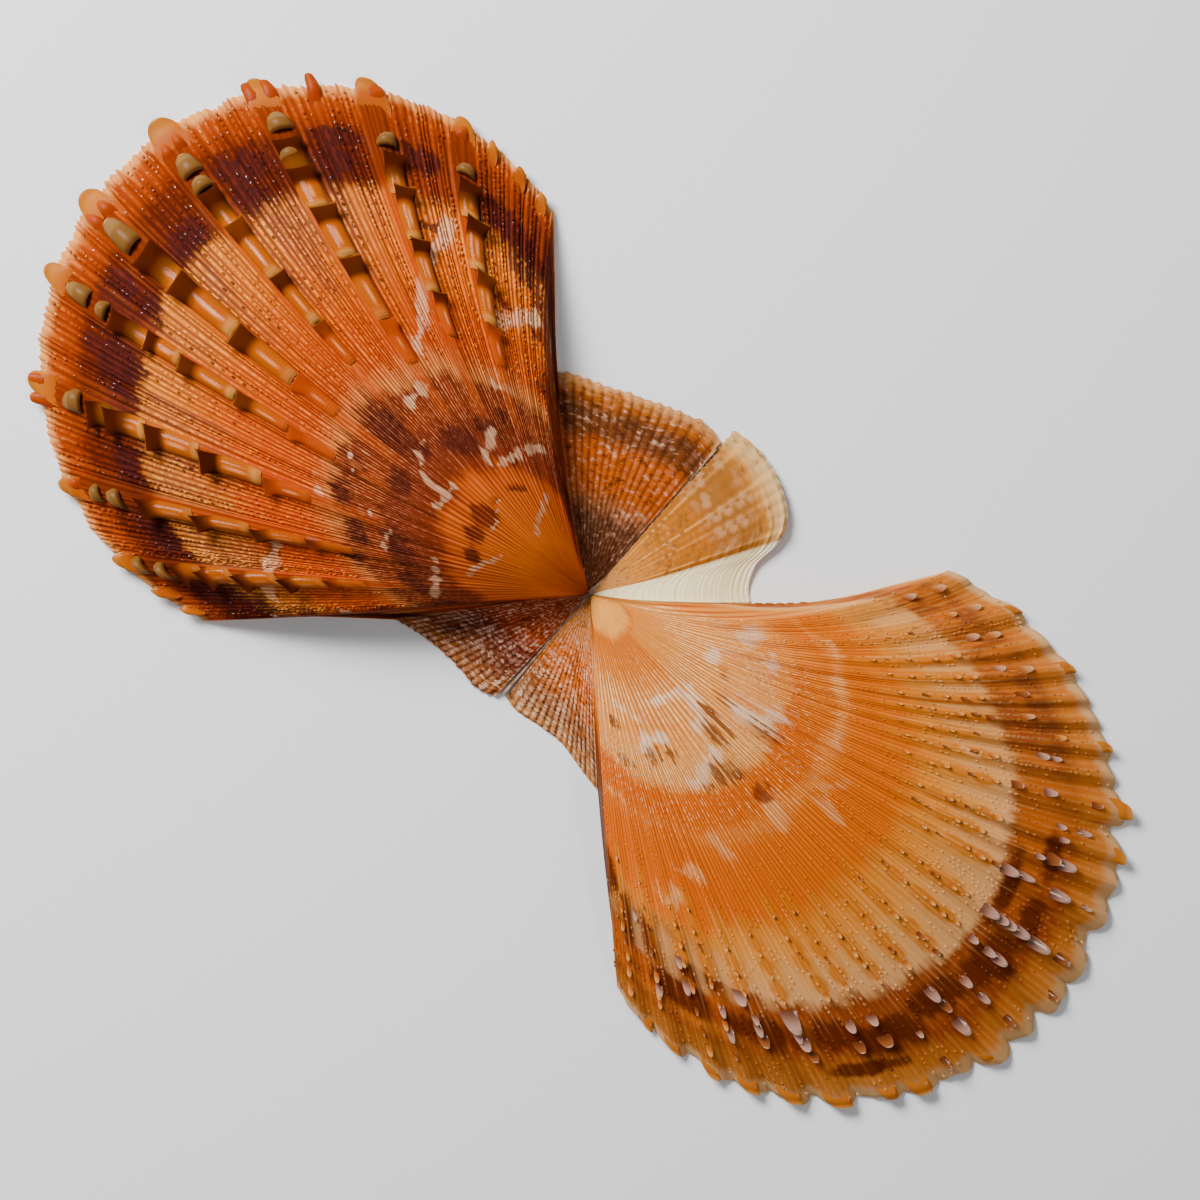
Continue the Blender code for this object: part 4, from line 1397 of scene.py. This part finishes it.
class ScaleFinish(Finish):
    """A finish whose colour runs from root to tip and ends in a thin clear edge."""

    def __init__(self, name, tip_from, root, middle, tip, edge, **constants):
        super().__init__(name, **constants)
        names = ("along", "across", "chance", "age", "fan")
        self.along, self.across, self.chance, self.age, self.fan = map(self.attribute, names)
        cloud = self.noise((self.fan * 0.7, self.age * 30, self.along * 2), 3)
        place = self.along + (cloud - 0.5) * 0.2
        self.colour = self.over(
            self.mix(place.step(0.02, 0.2), root, middle),
            (place.step(tip_from - 0.08, tip_from + 0.08) * (0.8 + 0.2 * self.chance), tip),
            (self.along.step(0.955, 0.975), edge),
        )


tones = ((0.56, 0.22, 0.04), (0.33, 0.062, 0), (0.034, 0.004, 0), (0.18, 0.045, 0.004))
amber = ScaleFinish("amber_gutters", 0.66, *tones, Roughness=0.55, Specular_IOR_Level=0, Coat_Roughness=0.12)
along, across, age = amber.along, amber.across, amber.age
young_tone = amber.mix(along.step(0.1, 0.9), (0.36, 0.044, 0), (0.32, 0.034, 0))
ripe_tone = amber.mix(along.step(0.3, 0.7), (0.1, 0.028, 0.003), (0.042, 0.006, 0.001))
low_tone = amber.mix(along.step(0.5, 0.9), (0.26, 0.05, 0.001), (0.04, 0.006, 0.001))
# The middle of each bar gets a painted highlight: a pale pink streak along its length.
painted_highlight = across.step(0.26, 0.04) * along.within(0.24, 0.55, 0.1) * age.within(0.5, 0.81, 0.02)
colour = amber.over(
    amber.colour,
    (across.step(0.45, 0.95) * along.step(0.75, 0.5) * 0.5, (0.38, 0.095, 0)),
    (age.step(0.6, 0.53) * 0.9, young_tone),
    (age.step(0.8, 0.825) * 0.95, ripe_tone),
    (painted_highlight * 0.5, (0.8, 0.29, 0.11)),
    (amber.fan.step(-58, -64) * 0.65, low_tone),
)
amber.drive("Coat Weight", along.step(0.75, 0.6) * age.step(0.83, 0.8) * 0.15)
amber.bump((age * (2 * math.pi / RIPPLE_PITCH)).maths("SINE") * along.step(0.75, 0.6), 0.00004, 0.15)
amber.colours(colour, gutters)

tones = ((0.055, 0.016, 0.003), (0.15, 0.062, 0.012), (0.19, 0.09, 0.022), (0.46, 0.28, 0.12))
olive = ScaleFinish("olive_knobs", 0.6, *tones, Roughness=0.3, Specular_IOR_Level=0.06)
olive.colours(olive.colour, knobs)

tones = ((0.28, 0.034, 0.001), (0.33, 0.06, 0.001), (0.36, 0.105, 0.006), (0.6, 0.29, 0.08))
orange = ScaleFinish("rim_tabs", 0.6, *tones, Roughness=0.4, Specular_IOR_Level=0.05)
colour = orange.over(
    orange.colour,
    (orange.chance.step(0.35, 0.8) * orange.along.step(0.2, 0.6) * 0.6, (0.44, 0.125, 0.004)),
    (orange.across.step(0.7, 1) * orange.along.step(0.4, 0.7) * 0.8, (0.74, 0.4, 0.13)),
)
orange.colours(colour, tabs)

plain = Finish("orange_nubs", Roughness=0.35, Specular_IOR_Level=0.06)
plain.colours(plain.mix(plain.attribute("along").step(0.3, 1), (0.22, 0.022, 0), (0.34, 0.05, 0.001)), nubs)
print("scale finishes made")

# %% [markdown]
# ## Marks and finish of the right valve
#
# The right valve lay on the seabed and is paler. A cream cap with a bright orange ring sits at the beak. Then
# come tan with whitish and a few brown flecks, a wide orange band, a cream band and a brown, patchy rim. In
# the cream band each small scale stands at the end of a clear amber spot, so those spots are painted from the
# list of scales itself. The front ear carries the ivory byssal band.

# %% Right valve marks
RIGHT_DARK = (
    (19, 0.356, 6, 0.022), (22, 0.27, 5, 0.014), (-22, 0.352, 9, 0.02), (-30, 0.372, 6, 0.012),
    (-16, 0.368, 4, 0.012), (-6, 0.292, 6, 0.024), (-1, 0.262, 4, 0.014), (-48, 0.3, 6, 0.012),
    (-62, 0.312, 5, 0.014), (-86, 0.27, 8, 0.012), (46, 0.265, 5, 0.01), (-12, 0.415, 5, 0.014),
    (-80, 0.345, 6, 0.01), (18, 0.83, 12, 0.018), (0, 0.87, 10, 0.04), (14, 0.89, 8, 0.03),
    (-16, 0.86, 10, 0.036), (-30, 0.88, 12, 0.045), (-42, 0.86, 7, 0.04), (-60, 0.86, 12, 0.05),
    (-80, 0.84, 11, 0.045), (-72, 0.775, 8, 0.022), (-92, 0.76, 8, 0.07), (-101, 0.68, 5, 0.07),
    (30, 0.89, 8, 0.022), (-38, 0.935, 12, 0.018), (-112, 0.56, 9, 0.14),
)
RIGHT_WHITE = (
    (0.014, (102, 0.44), (94, 0.4), (86, 0.345)), (0.01, (80, 0.4), (66, 0.37)),
    (0.016, (36, 0.374), (27, 0.35)), (0.026, (24, 0.345), (19, 0.3)),
    (0.015, (-16, 0.318), (-28, 0.335), (-38, 0.362)), (0.014, (-8, 0.265), (-15, 0.268)),
    (0.012, (-44, 0.268), (-56, 0.275), (-66, 0.305)), (0.008, (-62, 0.232), (-82, 0.218)),
    (0.012, (50, 0.235), (66, 0.262)), (0.014, (1, 0.225), (-5, 0.238)),
    (0.009, (10, 0.212), (-24, 0.2), (-38, 0.205)), (0.012, (92, 0.56), (80, 0.54)),
    (0.016, (70, 0.512), (62, 0.5)), (0.012, (47, 0.482), (42, 0.48)),
    (0.016, (20, 0.51), (12, 0.48), (4, 0.515)), (0.014, (52, 0.49), (36, 0.478)),
    (0.014, (-12, 0.43), (-15, 0.475)), (0.018, (-42, 0.49), (-46, 0.462)),
    (0.014, (-60, 0.535), (-66, 0.545)), (0.016, (-70, 0.59), (-76, 0.635)),
    (0.01, (-88, 0.445), (-104, 0.465)), (0.01, (50, 0.75), (53, 0.715)), (0.02, (-104, 0.74), (-112, 0.7)),
)
early_nails = [row for row in nail_rows if row[1] < 0.80]
AMBER_SPOTS = [(fan, root - 0.014, 2.5, 0.025) for fan, root, *_ in early_nails]
NAIL_SPECKS = [(row[0] + 0.3, row[2] + 0.004, 0.75, 0.007) for row in early_nails if 0.15 < row[6] < 0.5]
print("dark marks", len(RIGHT_DARK), "white lines", len(RIGHT_WHITE))
print("amber spots", len(AMBER_SPOTS), "specks", len(NAIL_SPECKS))


# %% Right valve finish
RIGHT_BANDS = (
    (0, 0.74, 0.31, 0.045), (0.07, 0.72, 0.26, 0.025), (0.082, 0.42, 0.07, 0), (0.15, 0.46, 0.085, 0),
    (0.22, 0.7, 0.23, 0.03), (0.3, 0.7, 0.23, 0.03), (0.365, 0.72, 0.27, 0.05), (0.375, 0.54, 0.088, 0),
    (0.435, 0.56, 0.1, 0), (0.455, 0.72, 0.23, 0.035), (0.48, 0.62, 0.125, 0.001), (0.5, 0.62, 0.112, 0),
    (0.6, 0.62, 0.116, 0), (0.64, 0.7, 0.22, 0.014), (0.74, 0.7, 0.275, 0.05), (0.8, 0.74, 0.35, 0.12),
    (0.818, 0.23, 0.038, 0.003), (0.87, 0.36, 0.065, 0.003), (0.915, 0.25, 0.038, 0.002),
    (0.94, 0.43, 0.11, 0.009), (0.98, 0.52, 0.17, 0.026),
)
RIGHT_CRESTS = (
    (0.07, 0.86, 0.44, 0.11), (0.085, 0.64, 0.15, 0.002), (0.15, 0.84, 0.32, 0.04),
    (0.19, 0.92, 0.56, 0.24), (0.355, 0.88, 0.5, 0.2), (0.38, 0.74, 0.23, 0.012), (0.6, 0.72, 0.22, 0.01),
    (0.66, 0.8, 0.38, 0.11),
)
RIGHT_FRONT_EAR = (
    (0.02, 0.7, 0.33, 0.1), (0.22, 0.56, 0.19, 0.02), (0.4, 0.42, 0.122, 0.004), (0.6, 0.42, 0.112, 0.002),
    (0.8, 0.34, 0.105, 0.008), (0.88, 0.48, 0.17, 0.016), (0.93, 0.62, 0.33, 0.11), (1, 0.68, 0.43, 0.18),
)
RIGHT_BACK_EAR = (
    (0.02, 0.7, 0.24, 0.03), (0.3, 0.66, 0.19, 0.025), (0.5, 0.62, 0.11, 0), (0.66, 0.5, 0.11, 0.008),
    (0.82, 0.34, 0.12, 0.04), (1, 0.5, 0.19, 0.045),
)


def right_front_ear(finish):
    """The front ear of the right valve: pale lines, dark specks, a net of squares, and the ivory band."""
    age, fan = finish.age, finish.fan
    pale_line = finish.crest.step(0.6, 1) * finish.own.step(0.45, 0.9) * age.step(0.15, 0.3)
    oval, luck = finish.cells(26, 6, 6)
    specks = oval.step(0.2, 0.7) * (luck + finish.broad * 0.5).step(0.75, 0.95) * age.within(0.34, 0.58, 0.05)
    oval, luck = finish.cells(17, 3.6, 3.8, 2)
    netted = age.within(0.62, 0.86, 0.05) * fan.step(150, 160)
    growth = finish.noise((age * 60, fan * 0.02, 1)).step(0.35, 0.65)
    ivory = finish.mix(growth, (0.92, 0.74, 0.3), (1, 0.94, 0.66))
    ivory = finish.mix(age.step(0.95, 1) * 0.4, ivory, (0.8, 0.68, 0.48))
    return finish.over(
        finish.ear_colour(RIGHT_FRONT_EAR, (0.2, 0.08, 0.018), (0.62, 0.33, 0.17), 0.9, 0.25, 0.15),
        (pale_line * 0.5, (0.78, 0.4, 0.1)),
        (specks * 0.75, (0.2, 0.075, 0.015)),
        (netted * 0.55, (0.27, 0.095, 0.014)),
        (oval.step(0, 1) * luck.step(0, 0.5) * netted * 0.42, (0.66, 0.35, 0.18)),
        (finish.attribute("band").step(0.35, 0.75), ivory),
    )


def right_finish():
    finish = ShellFinish("right_valve_tan", 3, Specular_IOR_Level=0.03, Coat_Roughness=0.1)
    age, fan, rib, own, crest, broad, streak, fine, feather, bundle = finish.numbers()
    zone = finish.zone
    lag = fan.step(15, 115) * age.within(0.3, 0.62, 0.12) * 0.095
    early = fan.within(-75, -25, 12) * age.step(0.7, 0.78) * 0.018
    late = fan.step(-48, -72) * (age.within(0.76, 0.9, 0.02) * 0.045 - age.within(0.61, 0.7, 0.03) * 0.05)
    ring = age - lag + early + late + (broad - 0.5) * 0.06 + (own - 0.5) * 0.012 + (feather - 0.5) * 0.04
    dull = zone(38, 66, 0.66, 0.82, 0.03)
    warm = age.within(0.82, 0.9, 0.015) * (broad * 0.7 + streak * 0.5).step(0.54, 0.7)
    mottle = zone(40, 60, 0.8, 0.93, 0.02) * (broad * 0.7 + feather * 0.7).step(0.62, 0.8)
    shadow = dull * (feather * 0.8 + fine * 0.4).step(0.66, 0.76)
    blush = age.within(0.13, 0.36, 0.02) * (broad * 0.6 + feather * 0.5).step(0.55, 0.64)
    fleck = age.within(0.18, 0.36, 0.01) * (streak * 0.5 + feather * 0.6).step(0.6, 0.7)
    not_ear = 1 - finish.ear
    amber = (finish.attribute("amber") + (fine - 0.5) * 0.7).step(-0.1, 0.45) * not_ear
    amber_tone = finish.mix(age.step(0.79, 0.85), (0.56, 0.145, 0.004), (0.32, 0.06, 0.002))
    colour = finish.over(
        finish.ramp(ring, RIGHT_BANDS),
        (zone(-4, 6, 0.084, 0.2, 0.004) * 0.85, (0.62, 0.22, 0.03)),
        (zone(25, 85, 0.36, 0.5, 0.04) * (0.35 + 0.5 * streak), (0.66, 0.21, 0.02)),
        (zone(40, 70, 0.54, 0.66, 0.03) * 0.7, (0.48, 0.105, 0)),
        (zone(0, -70, 0.37, 0.64, 0.03) * (0.3 + 0.7 * streak), (0.58, 0.09, 0)),
        (zone(-54, -78, 0.68, 0.8, 0.02) * (0.4 + 0.8 * broad), (0.24, 0.07, 0.012)),
        (fan.step(-38, -60) * age.step(0.88, 0.93) * (0.3 + 0.6 * streak), (0.2, 0.055, 0.006)),
        (dull * (0.45 + 0.7 * broad), (0.46, 0.148, 0.013)),
        (fan.step(12, 50) * age.step(0.79, 0.83) * (0.5 + 0.6 * streak) * 0.7, (0.47, 0.135, 0.015)),
        (warm * 0.8, (0.42, 0.085, 0.002)),
        (mottle * 0.8, (0.17, 0.038, 0.01)),
        (shadow * 0.7, (0.2, 0.065, 0.012)),
        (blush * 0.8, (0.6, 0.12, 0.003)),
        (fleck * 0.6, (0.76, 0.48, 0.31)),
        (amber * 0.85, amber_tone),
    )

    ragged = (own - 0.5) * 0.5 + (broad - 0.5) * 2.2 + (feather - 0.5) * 1.6 + (streak - 0.5) * 0.8
    outer = age.step(0.4, 0.44)
    white = (finish.attribute("light") + ragged * (0.9 + 0.9 * outer)).step(-0.5, 0.7)
    torn = (own - 0.5) * 1.5 + (streak - 0.5) * 1.6
    shade = (finish.attribute("shade") + ragged * 0.6 + torn * age.step(0.5, 0.4)).step(-0.15, 0.45)
    dark = finish.mix(age.step(0.45, 0.7), (0.06, 0.01, 0.008), (0.085, 0.011, 0.001))
    groove = (1 - crest) ** 2 * (0.5 + 0.9 * bundle) * age.step(0.01, 0.06) * (1 - 0.8 * age.step(0.5, 0.7))
    # The pale crest lines are partly the riblets' own colour and partly painted glints, broken into dashes.
    dash = finish.dash.step(0.46, 0.58)
    line = crest.step(0.45, 0.95) * (0.25 + 0.35 * own + 0.5 * dash) * (1 - 0.8 * age.step(0.45, 0.64))
    line = line * (1 - shade * 0.85) * (1 - 0.35 * age.within(0.38, 0.66, 0.03))
    # Painted glints: small pale spots on the riblet crests between the beak and the middle, painted into the
    # colour.
    painted_glint = crest.step(0.6, 1) * (fine * 0.8 + dash * 0.2).step(0.56, 0.66) * age.within(0.12, 0.46, 0.05)
    thread = crest.step(0.6, 1) * own.step(0.4, 0.9) * age.within(0.6, 0.84, 0.03)
    valley = (1 - rib) * age.step(0.62, 0.75)
    specks = (finish.attribute("speck") + (fine - 0.5)).step(0, 0.5) * not_ear
    edge = (age + (streak - 0.5) * 0.02 - rib * 0.004).step(0.966, 0.988)
    side_line = fan.step(-100, -106) * age.step(0.4, 0.6) * finish.ear.step(0.6, 0.2)
    # Painted shade: a dark line in the crease where the disc meets the front ear.
    painted_crease_shade = finish.ear.within(0.2, 0.8, 0.15) * fan.step(100, 120) * age.step(0.08, 0.3)
    colour = finish.over(
        colour,
        (white * (0.9 - 0.3 * outer), finish.mix(outer, (0.74, 0.49, 0.34), (0.8, 0.42, 0.15))),
        (shade * (1 - 0.25 * crest * own), dark),
        (fan.step(105, 112) * age.step(0.74, 0.56) * 0.85, (0.66, 0.21, 0.03)),
        (groove * 0.9, finish.mix(age.step(0.34, 0.4), (0.34, 0.105, 0.01), (0.36, 0.05, 0))),
        (line * 0.75, finish.ramp(age, RIGHT_CRESTS)),
        (painted_glint * 0.5, (1, 0.72, 0.4)),
        (thread * 0.25, (0.76, 0.4, 0.15)),
        (valley.step(0.4, 1) * age.step(0.82, 0.8) * 0.5, (0.7, 0.33, 0.11)),
        (specks * 0.8, (0.075, 0.03, 0.01)),
        (edge * 0.85, (0.58, 0.33, 0.14)),
        (side_line * 0.85, (0.05, 0.012, 0.006)),
        (painted_crease_shade * 0.8, (0.1, 0.04, 0.015)),
    )
    back_ear = finish.ear_colour(RIGHT_BACK_EAR, (0.075, 0.024, 0.01), (0.7, 0.47, 0.31), 0.84)
    return finish.complete(colour, right_front_ear(finish), back_ear)


paint(
    right_finish(),
    (right_shell, right_beads),
    shade=patches(RIGHT_DARK),
    light=lines(RIGHT_WHITE),
    amber=patches(AMBER_SPOTS),
    speck=patches(NAIL_SPECKS),
)

# %% [markdown]
# ## Nails and fingers of the right valve
#
# The nails are glossy. Their chance number sorts them into tan, clear and milky ones, and all but the tan ones
# have a pale edge. The rim fingers and the comb teeth are amber, like the bars of the other valve.

# %% Nail and finger finishes
clear = Finish("clear_nails", Roughness=0.12, Specular_IOR_Level=0.35)
chance, along = clear.attribute("chance"), clear.attribute("along")
tan_nail = clear.mix(along.step(0.2, 0.9), (0.4, 0.09, 0.003), (0.64, 0.26, 0.06))
milk_nail = clear.mix(along.step(0, 0.9), (0.16, 0.048, 0.022), (0.46, 0.24, 0.17))
clear_nail = clear.mix(along.step(0, 1), (0.14, 0.026, 0.002), (0.28, 0.08, 0.016))
colour = clear.over(
    tan_nail,
    (chance.step(0.65, 0.8), milk_nail),
    (chance.within(0.45, 0.64, 0.01), clear_nail),
    (along.step(0.88, 0.96) * chance.step(0.4, 0.45) * 0.7, (0.66, 0.42, 0.28)),
)
clear.colours(colour, nails)
tones = ((0.32, 0.08, 0.003), (0.4, 0.11, 0.005), (0.48, 0.17, 0.024), (0.5, 0.26, 0.09))
amber = ScaleFinish("amber_fingers", 0.8, *tones, Roughness=0.2, Specular_IOR_Level=0.2)
amber.colours(amber.colour, fingers, comb)
print("nails, fingers and comb finished")

# %% [markdown]
# ## Ligament
#
# The dried ligament is a thin strip of pale brown horn. Its solid already has the right shape, so it only
# gets a finish.

# %% Ligament finish
horn = Finish("ligament_horn", Roughness=0.45, Specular_IOR_Level=0.3)
grain = horn.noise(horn.add("ShaderNodeTexCoord", {}, {}, output="Object"), 3, scale=900)
colour = horn.mix(grain.step(0.35, 0.65), (0.26, 0.13, 0.06), (0.46, 0.29, 0.17))
horn.colours(colour, bpy.data.objects["ligament"])
print("ligament wears", horn.material.name)

# %% [markdown]
# ## Slots
#
# Each new piece is printed with the name of the shell material that it belongs to, and its number of triangles.

# %% Slots
SLOTS = {
    "orange_shell": (left_shell, left_beads, gutters, knobs, tabs, nubs),
    "amber_shell": (right_shell, right_beads, nails, fingers, comb),
}
for slot, pieces in SLOTS.items():
    for piece in pieces:
        print(slot, piece.name, triangles(piece), "triangles")
